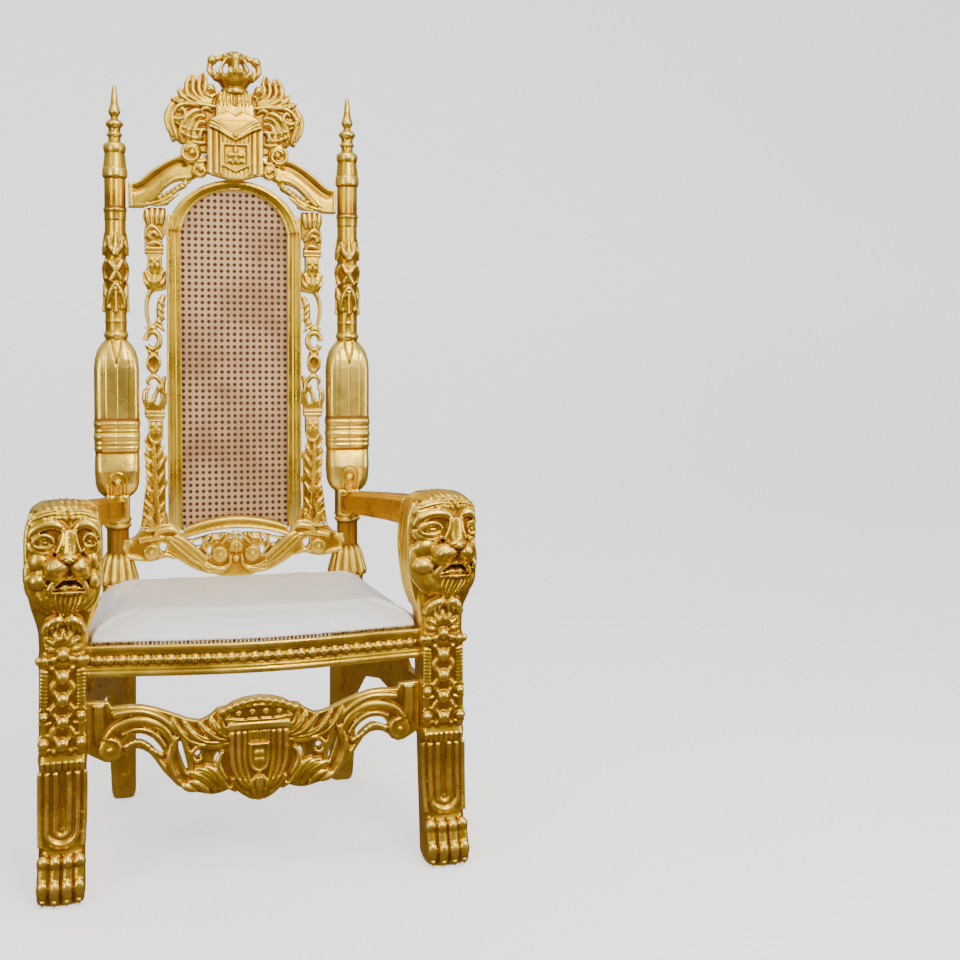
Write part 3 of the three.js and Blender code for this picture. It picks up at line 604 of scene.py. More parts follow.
leg_right = leg.finish(150000)
leg_right.data.materials.append(gilding)
leg_left = other_side(leg_right, "lion_leg_left")
HEAD_HALF = 73
NECK = 560
HEAD_TOP = 812
MIDDLE_DEPTH = -520
for piece, side, turned in ((leg_right, 1, 29), (leg_left, -1, 13)):
    # both lions look a little to the throne's left, the outer one more
    flat = np.empty(len(piece.data.vertices) * 3, np.float32)
    piece.data.vertices.foreach_get("co", flat)
    spots = flat.reshape(-1, 3) / MM - (0, POST_LINE, 0)
    across = (spots[:, 0] - side * HEAD_X) / HEAD_HALF
    above_neck = np.clip((spots[:, 2] - NECK) / 60, 0, 1) * np.clip((HEAD_TOP - spots[:, 2]) / 40, 0, 1)
    ahead = np.clip((MIDDLE_DEPTH - spots[:, 1]) / 45, 0, 1)
    spots[:, 0] += turned * np.clip(1 - across**2, 0, 1) * above_neck * ahead
    flat = ((spots + (0, POST_LINE, 0)) * MM).astype(np.float32).ravel()
    piece.data.vertices.foreach_set("co", flat)
    piece.data.update()
for piece, name in ((leg_right, "front_leg_right"), (leg_left, "front_leg_left")):
    fix_to_throne(piece, "gilt_wood", name)

# ---------------------------------------------------------------------------
# Rear posts. Turned in one length with the rear leg: a collar of drooping leaves, a plain column
# under the arm, a split baluster, a leafed shaft, a plain length by the crest rail, and a spire.
# ---------------------------------------------------------------------------

POST_X = 280
REAR_LEG = [  # z, x, half width, front, back, squareness
    (0, 271, 25, 17, 67, 3), (14, 271, 29, 13, 71, 4), (150, 273, 32, -4, 60, 5), (300, 276, 36, -24, 48, 5),
    (444, 279, 37, -35, 39, 6), (536, POST_X, 37, -36, 36, 6), (541, POST_X, 33, -32, 32, 5),
]
BALUSTER = [  # z, half width, half depth, squareness
    (748, 29, 24, 2.4), (754, 38, 28, 2.6), (764, 46, 32, 3), (780, 51, 36, 3.8), (812, 52.5, 39, 4.8),
    (840, 52, 34, 5), (857, 51, 30, 5), (860, 52, 35, 5), (863, 53, 37, 5), (868, 53.5, 38.5, 5),
    (873, 52.5, 36, 5), (879, 53.5, 38.5, 5), (885, 52.5, 36, 5), (889, 54, 39, 5), (895, 54.5, 41, 5),
    (901, 53.5, 38.5, 5), (904, 52.5, 36, 5), (909, 53.5, 38.5, 5), (914, 52.5, 36, 5), (920, 54, 39.5, 5),
    (926, 54.5, 41.5, 5), (933, 53.5, 38.5, 5), (937, 52.5, 35.5, 5), (942, 52.5, 36, 5), (1058, 52.5, 36, 5),
    (1080, 50.5, 35, 4.2), (1100, 45, 32, 3.4), (1114, 37, 28, 2.8), (1126, 26, 24, 2),
]
SHAFT = [(26, 600), (26, 671), (31, 675), (33, 680), (30, 684), (28, 686), (33, 690), (33, 695), (29, 697)]
UPPER = [
    (25, 1118), (25, 1130), (28, 1133), (29, 1138), (28, 1143), (25, 1147), (25, 1168), (26.5, 1171), (25,
                                                                                                       1174),
    (24.5, 1300), (24.5, 1408), (23.5, 1411), (25.5, 1413), (25.5, 1432), (28, 1435), (28, 1439), (25, 1442),
    (25, 1509), (24, 1512), (28.5, 1513), (29.5, 1518), (29, 1534), (27, 1537), (25.5, 1555), (23.5, 1572),
    (25, 1574), (26.5, 1580), (26.5, 1587), (24, 1593), (18, 1596), (14.4, 1599), (14.4, 1610), (18, 1612),
    (18.6, 1615), (16, 1618), (14.4, 1620), (14.4, 1630), (17, 1633), (20.5, 1637), (21, 1641), (19, 1645),
    (12, 1650), (8.5, 1653), (8.5, 1658), (12, 1662), (14.4, 1667), (14.4, 1671), (12, 1678), (9, 1686),
    (7.8, 1697), (6.8, 1712), (5, 1727), (3, 1733),
]
post = Carving("post_right")
post.column(REAR_LEG, 32)
post.turning([(28, 520), (26, 600), *SHAFT[1:]], POST_X, 0)
post.column([(692, POST_X, 29, -29, 29, 7), (752, POST_X, 29, -29, 29, 7)], 32)
post.column([(z, POST_X, half, -deep, deep, power) for z, half, deep, power in BALUSTER], 48)
post.turning(UPPER, POST_X, 0)
leaves = 12
for i in range(leaves):
    # the collar's leaves: each droops from the column and curls out at its tip
    turn = 2 * math.pi * (i + 0.5) / leaves
    out = np.array([math.cos(turn), math.sin(turn)])

    def ring_spot(radius, z, aside=0.0):
        spot = out * radius + np.array([-out[1], out[0]]) * aside
        return (POST_X + spot[0], spot[1], z)

    post.strand([ring_spot(24, 612), ring_spot(29, 598), ring_spot(34, 574), ring_spot(40, 548),
                 ring_spot(42, 536)], [4, 7.5, 9.5, 10.5, 6], 0)
    post.strand([ring_spot(28, 606), ring_spot(33, 592), ring_spot(39, 566), ring_spot(46, 541)],
                [2, 3, 3, 2], 0)
for turn in (-0.5, 0.0, 0.5, 1.0):
    # hanging leaf with a square pendant, crossed ribbon and tulip leaf on each of four sides
    out = np.array([math.sin(math.pi * turn), -math.cos(math.pi * turn)])

    def shaft_line(points, widths, radius=24):
        spots = []
        for x, z in points:
            swing = x / radius
            spot = np.array([out[0] * math.cos(swing) - out[1] * math.sin(swing),
                             out[0] * math.sin(swing) + out[1] * math.cos(swing)]) * radius
            spots.append((POST_X + spot[0], spot[1], z))
        post.strand(spots, widths, 0)

    for side in (-1, 1):
        shaft_line([(side * 1, 1262), (side * 13, 1238), (side * 22, 1202)], [4, 7.5, 3.5], 26)
        shaft_line([(side * 2, 1330), (side * 12, 1348), (side * 19, 1374)], [4, 7, 2], 26)
        shaft_line([(side * 10, 1234), (side * 12, 1200)], [5, 5], 23)
    shaft_line([(-17, 1318), (-5, 1298), (13, 1266)], [4.5, 7, 6], 26)
    shaft_line([(18, 1314), (6, 1302), (-13, 1270)], [4.5, 6.5, 6], 25)
    shaft_line([(0, 1328), (0, 1350), (0, 1382)], [7, 6.5, 1.5], 25)
    shaft_line([(0, 1250), (0, 1196)], [3.6, 3.8], 27)
    shaft_line([(0, 1206), (0, 1193)], [5, 5], 27.5)
post.lump(POST_X, -33, 784, 8.5, 9, 9)
post.fuse(1.9)
for side in (-1, 1):
    for half, top in ((19, 812), (10.5, 797)):
        arched = [(POST_X + side * half, 752), (POST_X + side * half, top - half),
                  (POST_X + side * half * 0.7, top - half * 0.3), (POST_X, top)]
        post.gouge(arched, 2.4, 2)
    post.gouge([(POST_X + side * 12, 1122), (POST_X + side * 6, 1096), (POST_X, 1068)], 2.6, 3.2)
    post.gouge([(POST_X + side * 27, 1096), (POST_X + side * 27, 940)], 4, 1.2)
post.gouge([(POST_X, 1066), (POST_X, 864)], 2, 1.6)
for z in (766, 771, 776):
    post.gouge([(POST_X - 7, z), (POST_X + 7, z)], 1.8, 1.2)
for z in (1200, 1206):
    post.gouge([(POST_X - 5, z), (POST_X + 5, z)], 1.8, 1.6)
for line in ([(-12, 1312), (0, 1292), (12, 1272)], [(14, 1310), (6, 1304)], [(-6, 1346), (-14, 1366)],
             [(6, 1346), (14, 1366)]):
    post.gouge([(POST_X + x, z) for x, z in line], 1.8, 1.6)
post_right = post.finish(78000)
post_right.data.materials.append(gilding)
post_left = other_side(post_right, "post_left")
fix_to_throne(post_right, "gilt_wood", "rear_post_right")
fix_to_throne(post_left, "gilt_wood", "rear_post_left")

# ---------------------------------------------------------------------------
# Back frame. Four lengths of moulding make an arch with a reeded outer edge, a flat and an inner
# bead; the foot is bowed up and has three bands of its own.
# ---------------------------------------------------------------------------

CANE_HALF = 128
FRAME_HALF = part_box("back_frame")[1].x / MM
ARCH_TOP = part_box("back_frame")[1].z / MM
SPRING = 1374
FRAME_FOOT = 672


def arch_line(half, top, foot, steps=14):
    """Up one side, round the arch and down the other."""
    turn = np.linspace(0, math.pi, 2 * steps + 1)
    bend = [(half * math.cos(a), SPRING + (top - SPRING) * math.sin(a)) for a in turn]
    return [(half, foot), *bend, (-half, foot)]


def foot_line(height, half, droop=26, steps=10):
    """The bowed foot: highest in the middle."""
    return [(half * t, height - droop * t * t) for t in np.linspace(-1, 1, 2 * steps + 1)]


frame_wood = Carving("arched_frame")
outline = arch_line(FRAME_HALF - 2, ARCH_TOP - 2, FRAME_FOOT)
outline += [(-144, FRAME_FOOT), (-138, 641), *foot_line(664, 132, 22)[1:-1], (138, 641), (144, FRAME_FOOT)]
hole = arch_line(CANE_HALF + 3, 1491, 668) + foot_line(696, CANE_HALF + 3, 28)[1:-1]
frame_wood.board(outline, -20, 8, [hole], 1.5)
for inset, out, wide in ((4, -20, 4.6), (11, -21, 3.6), (18, -20, 3.2), (24.5, -13, 8), (31, -17, 3.4)):
    frame_wood.strand(arch_line(FRAME_HALF - inset - 0.5, ARCH_TOP - inset * 0.62, 668), [wide, wide], out)
for height, half, wide, out in ((688, 127, 5.5, -21), (678, 130, 3.5, -19), (669, 133, 4.5, -20)):
    frame_wood.strand(foot_line(height, half, 25), [wide, wide], out)
frame_wood.fuse(2.0, 1)
arched_frame = frame_wood.finish(46000)
arched_frame.data.materials.append(gilding)
fix_to_throne(arched_frame, "gilt_wood", "back_frame")

# ---------------------------------------------------------------------------
# Caning. Split cane woven six ways through the frame: a pair upright, a pair across and one on each
# slant, which leave eight-sided holes. A brown cloth closes the back of it.
# ---------------------------------------------------------------------------

HOLE_PITCH = 15.4
CANE_WIDTH = 2.5
CANE_DEPTH = -7  # the weave's middle, from the posts' centre line
weave = bmesh.new()
half_pitch = HOLE_PITCH / 2


def cane_strip(a, b, over, width):
    """One strip across a cell, arched in section, that rides over or under by turns."""
    steps = 4
    a, b = np.array(a), np.array(b)
    along = (b - a) / np.hypot(*(b - a))
    aside = np.array([-along[1], along[0]]) * width / 2
    rows = []
    for i in range(steps + 1):
        t = i / steps
        middle = a + (b - a) * t
        lift = over * math.sin(2 * math.pi * t)
        rows.append([weave.verts.new(((middle + aside * k)[0], lift - (0 if k else 0.45),
                                      (middle + aside * k)[1]))
                     for k in (-1, 0, 1)])
    for low, high in zip(rows, rows[1:]):
        for k in (0, 1):
            weave.faces.new((low[k], low[k + 1], high[k + 1], high[k]))


for offset, over in ((half_pitch - 1.5, 0.8), (half_pitch + 1.5, -0.8)):
    cane_strip((offset, 0), (offset, HOLE_PITCH), over, CANE_WIDTH)
    cane_strip((0, offset), (HOLE_PITCH, offset), -over, CANE_WIDTH)
for a, b, over in (((0, 1), (1, 2), 0.5), ((1, 0), (2, 1), 0.5), ((0, 1), (1, 0), -0.5),
                   ((1, 2), (2, 1), -0.5)):
    cane_strip([half_pitch * k for k in a], [half_pitch * k for k in b], over, 2.1)
bmesh.ops.recalc_face_normals(weave, faces=weave.faces)
if sum(face.normal.y for face in weave.faces) > 0:
    bmesh.ops.reverse_faces(weave, faces=weave.faces)
cell = bpy.data.meshes.new("cane_cell")
weave.to_mesh(cell)
weave.free()
caning = bmesh.new()
columns = int(CANE_HALF // HOLE_PITCH) + 1
for i in range(-columns, columns):
    for k in range(54):
        x, z = (i + 0.5) * HOLE_PITCH, 664 + (k + 0.5) * HOLE_PITCH
        rise = max(0.0, z - SPRING) / (1494 - SPRING)
        if rise > 1.04 or abs(x) > (CANE_HALF + 6) * math.sqrt(max(0.0, 1.06 - rise * rise)) + 2:
            continue
        first = len(caning.verts)
        caning.from_mesh(cell)
        caning.verts.ensure_lookup_table()
        for vert in caning.verts[first:]:
            sway = 0.35 * math.sin(0.9 * i + 0.05 * z)
            vert.co = place(vert.co.x + x - half_pitch + sway, vert.co.y + CANE_DEPTH,
                            vert.co.z + z - half_pitch)
bpy.data.meshes.remove(cell)
for face in caning.faces:
    face.smooth = True
cloth_edge = [(CANE_HALF + 4, 672), *arch_line(CANE_HALF + 4, 1497, 690)[1:-1], (-CANE_HALF - 4, 672)]
cloth_front = caning.faces.new([caning.verts.new(place(x, -4.9, z)) for x, z in cloth_edge])
cloth_side = bmesh.ops.extrude_face_region(caning, geom=[cloth_front])["geom"]
bmesh.ops.translate(caning, vec=(0, 0.8 * MM, 0),
                    verts=[g for g in cloth_side if isinstance(g, bmesh.types.BMVert)])
cloth_faces = {cloth_front, *(g for g in cloth_side if isinstance(g, bmesh.types.BMFace))}
cloth_faces |= {face for edge in cloth_front.edges for face in edge.link_faces}
bmesh.ops.recalc_face_normals(caning, faces=list(cloth_faces))
for face in cloth_faces:
    face.material_index = 1
cane_mesh = bpy.data.meshes.new("caned_back")
caning.to_mesh(cane_mesh)
caning.free()
caned_back = bpy.data.objects.new("caned_back", cane_mesh)
bpy.context.scene.collection.objects.link(caned_back)

straw = bpy.data.materials.new("split_cane")
straw.use_nodes = True
tree = straw.node_tree
where = node(tree, "ShaderNodeTexCoord").outputs["Object"]
blotch = noise(tree, where, 9.0, 3.0).outputs[0]
stretched = node(tree, "ShaderNodeMapping", None, Vector=where, Scale=(900.0, 900.0, 60.0)).outputs[0]
fibre = noise(tree, stretched, 1.0, 2.0).outputs[0]
tone = math_of(tree, "ADD", math_of(tree, "MULTIPLY", blotch, 0.7), math_of(tree, "MULTIPLY", fibre, 0.3))
color = mixed(tree, between(tree, tone, 0.35, 0.65), (0.40, 0.20, 0.075, 1), (0.60, 0.36, 0.16, 1))
tree.links.new(color, tree.nodes["Principled BSDF"].inputs["Base Color"])
tree.nodes["Principled BSDF"].inputs["Roughness"].default_value = 0.55
bump = node(tree, "ShaderNodeBump", None, Strength=0.3, Distance=0.0004, Height=fibre)
tree.links.new(bump.outputs[0], tree.nodes["Principled BSDF"].inputs["Normal"])
backcloth = bpy.data.materials.new("brown_backcloth")
backcloth.use_nodes = True
tree = backcloth.node_tree
where = node(tree, "ShaderNodeTexCoord").outputs["Object"]
thread = noise(tree, where, 700.0, 2.0).outputs[0]
color = mixed(tree, thread, (0.05, 0.018, 0.008, 1), (0.10, 0.042, 0.018, 1))
tree.links.new(color, tree.nodes["Principled BSDF"].inputs["Base Color"])
tree.nodes["Principled BSDF"].inputs["Roughness"].default_value = 0.95
cane_mesh.materials.append(straw)
cane_mesh.materials.append(backcloth)
fix_to_throne(caned_back, "cane", "cane_panel")

# ---------------------------------------------------------------------------
# Crest rail. A swan-necked board between the posts, moulded along its top, with a long gouged
# hollow and a pierced leaf with a row of beads on each side of the arch.
# ---------------------------------------------------------------------------

rail_wood = Carving("swan_neck_rail")
RAIL_END = 249.5
opening = [(186, 1460), (170, 1483), (144, 1505), (116, 1510), (113, 1497), (135, 1484), (160, 1470),
           (176, 1458)]
neck = [(RAIL_END, 1442), (214, 1443), (200, 1449), (170, 1448), (155, 1452), (150, 1475), (128, 1502),
        (95, 1520), (60, 1530), (0, 1534), (0, 1573), (112, 1573), (134, 1565), (165, 1549), (195, 1529),
        (216, 1509), (232, 1502), (RAIL_END, 1501)]
rail_wood.board(neck, -26, 2, [opening], 1.5)
rail_wood.strand([(120, 1568), (140, 1560), (170, 1544), (198, 1524), (220, 1504), (236, 1498)],
                 [5, 5.5, 5.5, 5, 3.5], -22)
rail_wood.strand([(118, 1530), (150, 1518), (178, 1494), (204, 1464), (222, 1450)], [4, 5, 5, 5, 3.5], -22)
rail_wood.strand([(114, 1518), (140, 1513), (166, 1494), (188, 1468), (200, 1456)], [3, 4.5, 4.5, 4, 2.5],
                 -24)
for i in range(7):
    rail_wood.lump(178 - i * 10, -21, 1467 + i * 6.0, 5.6, 6.5, 5.6)
rail_wood.strand([(204, 1454), (182, 1460), (158, 1474), (128, 1497), (104, 1508)], [5, 8, 7, 7, 3], -19, 8)
rail_wood.strand([(196, 1449), (170, 1454), (150, 1466), (132, 1480)], [4, 7, 6, 3], -21, 7)
rail_wood.strand([(108, 1512), (92, 1524), (104, 1534), (116, 1524), (108, 1516)], [5, 6, 6, 5, 3], -20)
rail_wood.both_sides()
rail_wood.fuse(1.7)


def cut_rail(points, width, depth):
    for side in (-1, 1):
        rail_wood.gouge([(side * x, z) for x, z in points], width, depth)


cut_rail([(230, 1485), (212, 1494), (186, 1515), (158, 1537), (134, 1550), (118, 1553)], 13, 6)
cut_rail([(202, 1455), (180, 1462), (156, 1476), (128, 1499)], 2.2, 2.4)
cut_rail([(192, 1450), (170, 1456), (148, 1469)], 2, 2)
cut_rail([(240, 1500), (240, 1444)], 2, 1)
rail_piece = rail_wood.finish(46000)
rail_piece.data.materials.append(gilding)
fix_to_throne(rail_piece, "gilt_wood", "crest_rail")

# ---------------------------------------------------------------------------
# Coat of arms. Crown, fluted cap, acanthus mantling and a paled shield are carved in one block that
# stands on the crest rail. The small shield bears a plain cross of four petals.
# ---------------------------------------------------------------------------

crest = Carving("crowned_arms")
CREST_FACE = -40
mantle_edge = [(0, 1722), (44, 1724), (52, 1742), (62, 1738), (70, 1768), (80, 1762), (86, 1742), (94, 1760),
               (104, 1762), (114, 1742), (112, 1724), (124, 1728), (135, 1724), (131, 1712), (150, 1702),
               (147, 1692), (157, 1678), (162, 1654), (157, 1628), (146, 1600), (136, 1606), (127, 1597),
               (88, 1598), (84, 1577), (0, 1577)]
crest.board(mantle_edge, CREST_FACE + 2, -6, (), 2)


def ribs(rows, out=0.0, rise=None):
    for points, widths in rows:
        crest.strand(points, widths, CREST_FACE - out, rise)


ribs([  # plumes beside the crown, fanning up and out
    ([(50, 1708), (62, 1712), (71, 1730), (68, 1748), (73, 1768)], [3, 6, 6, 5, 2]),
    ([(52, 1703), (74, 1708), (84, 1726), (83, 1748), (79, 1765)], [3, 5, 5.5, 5, 2]),
    ([(54, 1699), (82, 1703), (98, 1722), (98, 1744), (91, 1760)], [4, 6, 6.5, 6, 2.5]),
    ([(54, 1696), (90, 1698), (110, 1714), (113, 1738), (103, 1760)], [4, 6, 6.5, 6.5, 2.5]),
    ([(60, 1694), (98, 1694), (120, 1706), (134, 1724)], [3, 6, 7, 2]),
    ([(70, 1690), (108, 1690), (132, 1696), (150, 1703)], [3, 6, 7, 2.5]),
], 0)
ribs([  # the long stem from the cap that rolls over into the rim and its hook
    ([(46, 1686), (80, 1690), (112, 1690), (134, 1682), (146, 1668)], [4, 5, 5.5, 6, 6]),
    ([(146, 1690), (157, 1672), (160, 1650), (155, 1628), (147, 1610)], [4, 6.5, 7, 6.5, 3]),
    ([(140, 1680), (149, 1662), (147, 1640), (140, 1618), (136, 1604)], [4, 6.5, 7, 6.5, 3]),
    ([(150, 1660), (136, 1652), (122, 1656), (116, 1668), (124, 1676), (133, 1670)], [4, 5, 5.5, 5.5, 5, 3]),
], 4)
ribs([  # draped leaves between stem and shield, tips hanging
    ([(72, 1676), (92, 1674), (108, 1664), (120, 1648), (128, 1622), (126, 1602)], [4, 9, 10, 10, 8, 3]),
    ([(68, 1662), (88, 1662), (104, 1648), (112, 1626), (112, 1602)], [5, 9, 10, 10, 4]),
    ([(68, 1648), (84, 1648), (96, 1634), (98, 1616), (96, 1602)], [5, 8, 9, 8, 4]),
    ([(68, 1630), (78, 1628), (84, 1614), (82, 1602)], [4, 7, 7, 4]),
    ([(140, 1646), (118, 1632), (94, 1628), (72, 1634)], [3, 5, 5, 3]),
    ([(136, 1630), (116, 1616), (94, 1610), (74, 1612)], [3, 5, 5, 3]),
    ([(52, 1674), (66, 1682), (80, 1676), (72, 1668)], [3, 5, 5, 3]),
], -2, 11)
crest.lump(57, CREST_FACE - 1, 1728, 11.5)
ribs([([(44, 1716), (54, 1713), (68, 1718), (71, 1731), (63, 1742)], [3, 4, 4.5, 4, 2.5])], 0)
for x, z, r in ((104, 1574, 25), (83, 1534, 19)):
    # volutes under the mantling: a drum, a rolled edge and an eye
    crest.column([(z - r * math.cos(a), x, r * math.sin(a), CREST_FACE - 4, -29, 4)
                  for a in np.linspace(0.25, math.pi - 0.25, 9)], 24)
    turns = np.linspace(0.3, 2 * math.pi * 1.15, 18)
    roll = [(x - (r - 3 - 0.42 * r * (a / turns[-1])) * math.cos(a + 1.9),
             z + (r - 3 - 0.42 * r * (a / turns[-1])) * math.sin(a + 1.9)) for a in turns]
    ribs([(roll, [r * 0.2, r * 0.17, r * 0.12])], 4)
    crest.lump(x - 2, CREST_FACE - 5, z + 1, r * 0.28)
ribs([([(70, 1600), (84, 1598), (98, 1600), (114, 1598)], [3, 5, 5, 3]),
      ([(66, 1560), (74, 1556), (86, 1553), (98, 1550)], [3, 5, 5, 2])], 0)

# crown: bowl, rim of leaves, arches with balls, and the closed top
crest.turning([(31, 1719), (33, 1722), (33, 1729), (30, 1732), (29, 1734), (34, 1742), (39, 1749), (44, 1751),
               (47, 1755), (46, 1762), (40, 1765)], 0, -26)
crest.turning([(24, 1796), (31, 1799), (33, 1804), (30, 1809), (27, 1812), (20, 1818), (10, 1822),
               (3, 1824)], 0, -26)
for i in range(12):
    turn = math.pi * (i + 0.5) / 6
    x, y = math.sin(turn), -math.cos(turn)
    crest.strand([(x * 43, y * 43 - 26, 1755), (x * 49, y * 49 - 26, 1766), (x * 51, y * 51 - 26, 1777)],
                 [7, 7, 2], 0)
for x, y in ((1, 0), (-1, 0), (0, 1), (0, -1)):
    reach = 58 if x else 50
    arch_rib = [(44, 1758), (reach, 1775), (reach - 3, 1793), (42, 1803), (22, 1806)]
    crest.strand([(x * r, y * r - 26, z) for r, z in arch_rib], [7, 8, 7.5, 7, 6], 0)
    crest.lump(x * (reach - 6), y * (reach - 6) - 26, 1799, 12)
for i in range(4):
    turn = math.pi * (i + 0.5) / 2
    x, y = math.sin(turn), -math.cos(turn)
    crest.strand([(x * 43, y * 43 - 26, 1760), (x * 47, y * 47 - 26, 1776), (x * 30, y * 30 - 26, 1800)],
                 [4, 4, 4], 0)
for i in range(10):
    turn = math.pi * (i + 0.5) / 5
    crest.lump(31 * math.sin(turn), -31 * math.cos(turn) - 26, 1811, 4.5)

# cap: fan of flutes over two zigzag bands
crest.board([(0, 1690), (44, 1694), (42, 1710), (32, 1722), (0, 1722)], CREST_FACE - 6, -10, (), 1)
for i in range(5):
    foot, top = i * 8.5, i * 9.5
    if i:
        crest.strand([(foot, 1688), (top * 0.95, 1706), (top * 0.86, 1722)], [3.4, 4.6, 3], CREST_FACE - 7)
crest.board([(0, 1686), (22, 1699), (44, 1691), (46, 1655), (0, 1655)], CREST_FACE - 10, -10, (), 1)
crest.board([(0, 1662), (17, 1674), (44, 1664), (62, 1652), (60, 1640), (0, 1640)], CREST_FACE - 13, -10, (),
            1)

# shield: field, pales, the drapes crossed at its head, and the small shield
SHIELD_FACE = CREST_FACE - 16
crest.board([(0, 1652), (54, 1652), (64, 1646), (66.5, 1636), (66.5, 1527), (56, 1523), (20, 1513),
             (0, 1512)],
            SHIELD_FACE + 1, -28.3, (), 1.5)
for x, half in ((60.5, 4.6), (45, 5), (34.5, 2.2)):
    crest.board([(x - half, 1526 - half), (x + half, 1526), (x + half, 1640 - x * 0.1),
                 (x - half, 1640 - x * 0.1)],
                SHIELD_FACE - 2, SHIELD_FACE + 4, (), 1)
for x, low, high in ((25, 1598, 1622), (15, 1598, 1618), (5, 1598, 1616), (24, 1516, 1540), (14, 1514, 1533),
                     (4.5, 1514, 1527)):
    crest.board([(x - 3.4, low), (x + 3.4, low), (x + 3.4, high), (x - 3.4, high)],
                SHIELD_FACE - 1.5, SHIELD_FACE + 4, (), 1)
for shift, wide in ((0, 3.4), (8, 3), (16, 3.4)):
    crest.strand([(62 - shift * 0.25, 1638 + shift), (40, 1630 + shift), (18, 1617 + shift * 0.9),
                  (-2, 1607 + shift * 0.9)], [wide, wide], SHIELD_FACE - 2.5)
crest.board([(0, 1599), (32, 1599), (32, 1546), (0, 1529)], SHIELD_FACE - 1, SHIELD_FACE + 4, (), 0.8)
crest.strand([(0, 1596), (28, 1596), (29, 1594), (29, 1549), (27, 1546), (0, 1532)], [3, 3],
             SHIELD_FACE - 1.5)
crest.both_sides()
for turn in range(4):
    angle = math.pi / 2 * turn
    crest.lump(11 * math.cos(angle), SHIELD_FACE - 1.5, 1571 + 11 * math.sin(angle), 5, 3.5, 9,
               90 - turn * 90)
crest.lump(0, SHIELD_FACE - 2, 1571, 4)
for side in (-1, 1):
    crest.strand([(side * 21, 1553), (side * 12, 1557), (side * 7, 1550)], [2, 3.4, 2], SHIELD_FACE - 1)
crest.lump(0, SHIELD_FACE - 6, 1617, 4.5)
crest.fuse(1.6, 1)


def cut_crest(points, width, depth, **more):
    for side in (-1, 1):
        crest.gouge([(side * x, z) for x, z in points], width, depth, **more)


for points in ([(80, 1670), (100, 1658), (112, 1640), (118, 1612)],
               [(74, 1656), (92, 1648), (102, 1630), (104, 1608)], [(132, 1640), (134, 1622), (131, 1606)],
               [(151, 1660), (151, 1640), (145, 1616)], [(104, 1742), (104, 1722), (92, 1707)],
               [(90, 1744), (91, 1724), (82, 1710)], [(76, 1744), (77, 1724)],
               [(142, 1699), (118, 1693), (92, 1691)], [(128, 1718), (112, 1704), (92, 1697)]):
    cut_crest(points, 2.2, 2.2)
cut_crest([(52, 1526), (52, 1638)], 2, 1.5)
cut_crest([(39, 1522), (39, 1632)], 1.8, 1.5)
crowned_arms = crest.finish(140000)
crowned_arms.data.materials.append(gilding)
fix_to_throne(crowned_arms, "gilt_wood", "crest")

# ---------------------------------------------------------------------------
# Side carvings. A pierced strip hangs on each side of the frame: leaf cap, scrolls, two small
# shields with a four-petal flower, an open ring, and a long leaf down to the apron.
# ---------------------------------------------------------------------------

CARVING_IN = FRAME_HALF + 0.4
CARVING_FOOT = FRAME_FOOT + 0.6
side_wood = Carving("hanging_carving_right")


def hang(points, widths, out=0.0, rise=None):
    side_wood.strand(points, widths, -16 - out, rise)


def hang_board(points, front=-15, holes=(), edge=1.5, smooth=False):
    side_wood.board(points, front, -1, holes, edge, smooth)


inner = CARVING_IN + 7
hang_board([(CARVING_IN, 1444), (203, 1444), (213, 1438), (217, 1424), (211, 1406), (214, 1372), (212, 1350),
            (CARVING_IN + 10, 1350), (inner, 1372), (CARVING_IN, 1380)])
hang_board([(168, 1356), (212, 1356), (212, 1334), (207, 1330), (206, 1300), (218, 1288), (214, 1262),
            (206, 1246), (168, 1246), (CARVING_IN, 1250), (CARVING_IN, 1296), (172, 1302), (172, 1332),
            (168, 1334)])
hang([(176, 1250), (194, 1248), (206, 1228), (209, 1196), (204, 1168), (197, 1156)], [7, 7, 6, 5.5, 5, 5], -6)
hang([(CARVING_IN + 4, 1236), (174, 1222), (178, 1200), (178, 1176), (190, 1158)], [5, 9, 9, 9, 7], -8)
ring_turns = np.linspace(0, 2 * math.pi, 15)[:-1]
hang([(195 + 16 * math.cos(a), 1125 + 21 * math.sin(a)) for a in ring_turns], [7.5, 7.5], -5)
side_wood.lump(197, -10, 1155, 12, 8, 9)
hang([(214, 1158), (202, 1152)], [2, 6], -4)
hang_board([(186, 1106), (208, 1102), (206, 1090), (212, 1072), (210, 1058), (200, 1046), (186, 1046),
            (180, 1056), (184, 1074), (180, 1086)])
hang([(172, 1000), (176, 1022), (190, 1038), (204, 1034), (208, 1024), (202, 1018)], [6, 6.5, 6.5, 6, 5, 3],
     -5)
hang([(204, 1014), (212, 1002), (214, 984), (208, 964)], [4, 7, 8, 7], -6)
hang([(180, 1010), (190, 994), (196, 972)], [5, 6, 7], -7)
hang([(CARVING_IN + 5, 1040), (172, 1010), (172, 980), (176, 958)], [5, 6, 8, 8], -8)
hang_board([(CARVING_IN, 1004), (174, 1000), (182, 972), (200, 980), (216, 984), (217, 962), (214, 940),
            (207, 934), (207, 902), (218, 882), (206, 866), (219, 848), (209, 838), (216, 820), (207, 802),
            (213, 772), (219, 738), (222, 706), (227, CARVING_FOOT), (CARVING_IN, CARVING_FOOT),
            (CARVING_IN, 700), (inner - 2, 712), (inner - 2, 768), (CARVING_IN, 776), (CARVING_IN, 784),
            (inner - 2, 790), (inner - 2, 828), (CARVING_IN, 838), (CARVING_IN, 846), (172, 852), (178, 880),
            (172, 902), (172, 934), (168, 940), (168, 966), (CARVING_IN, 972)])
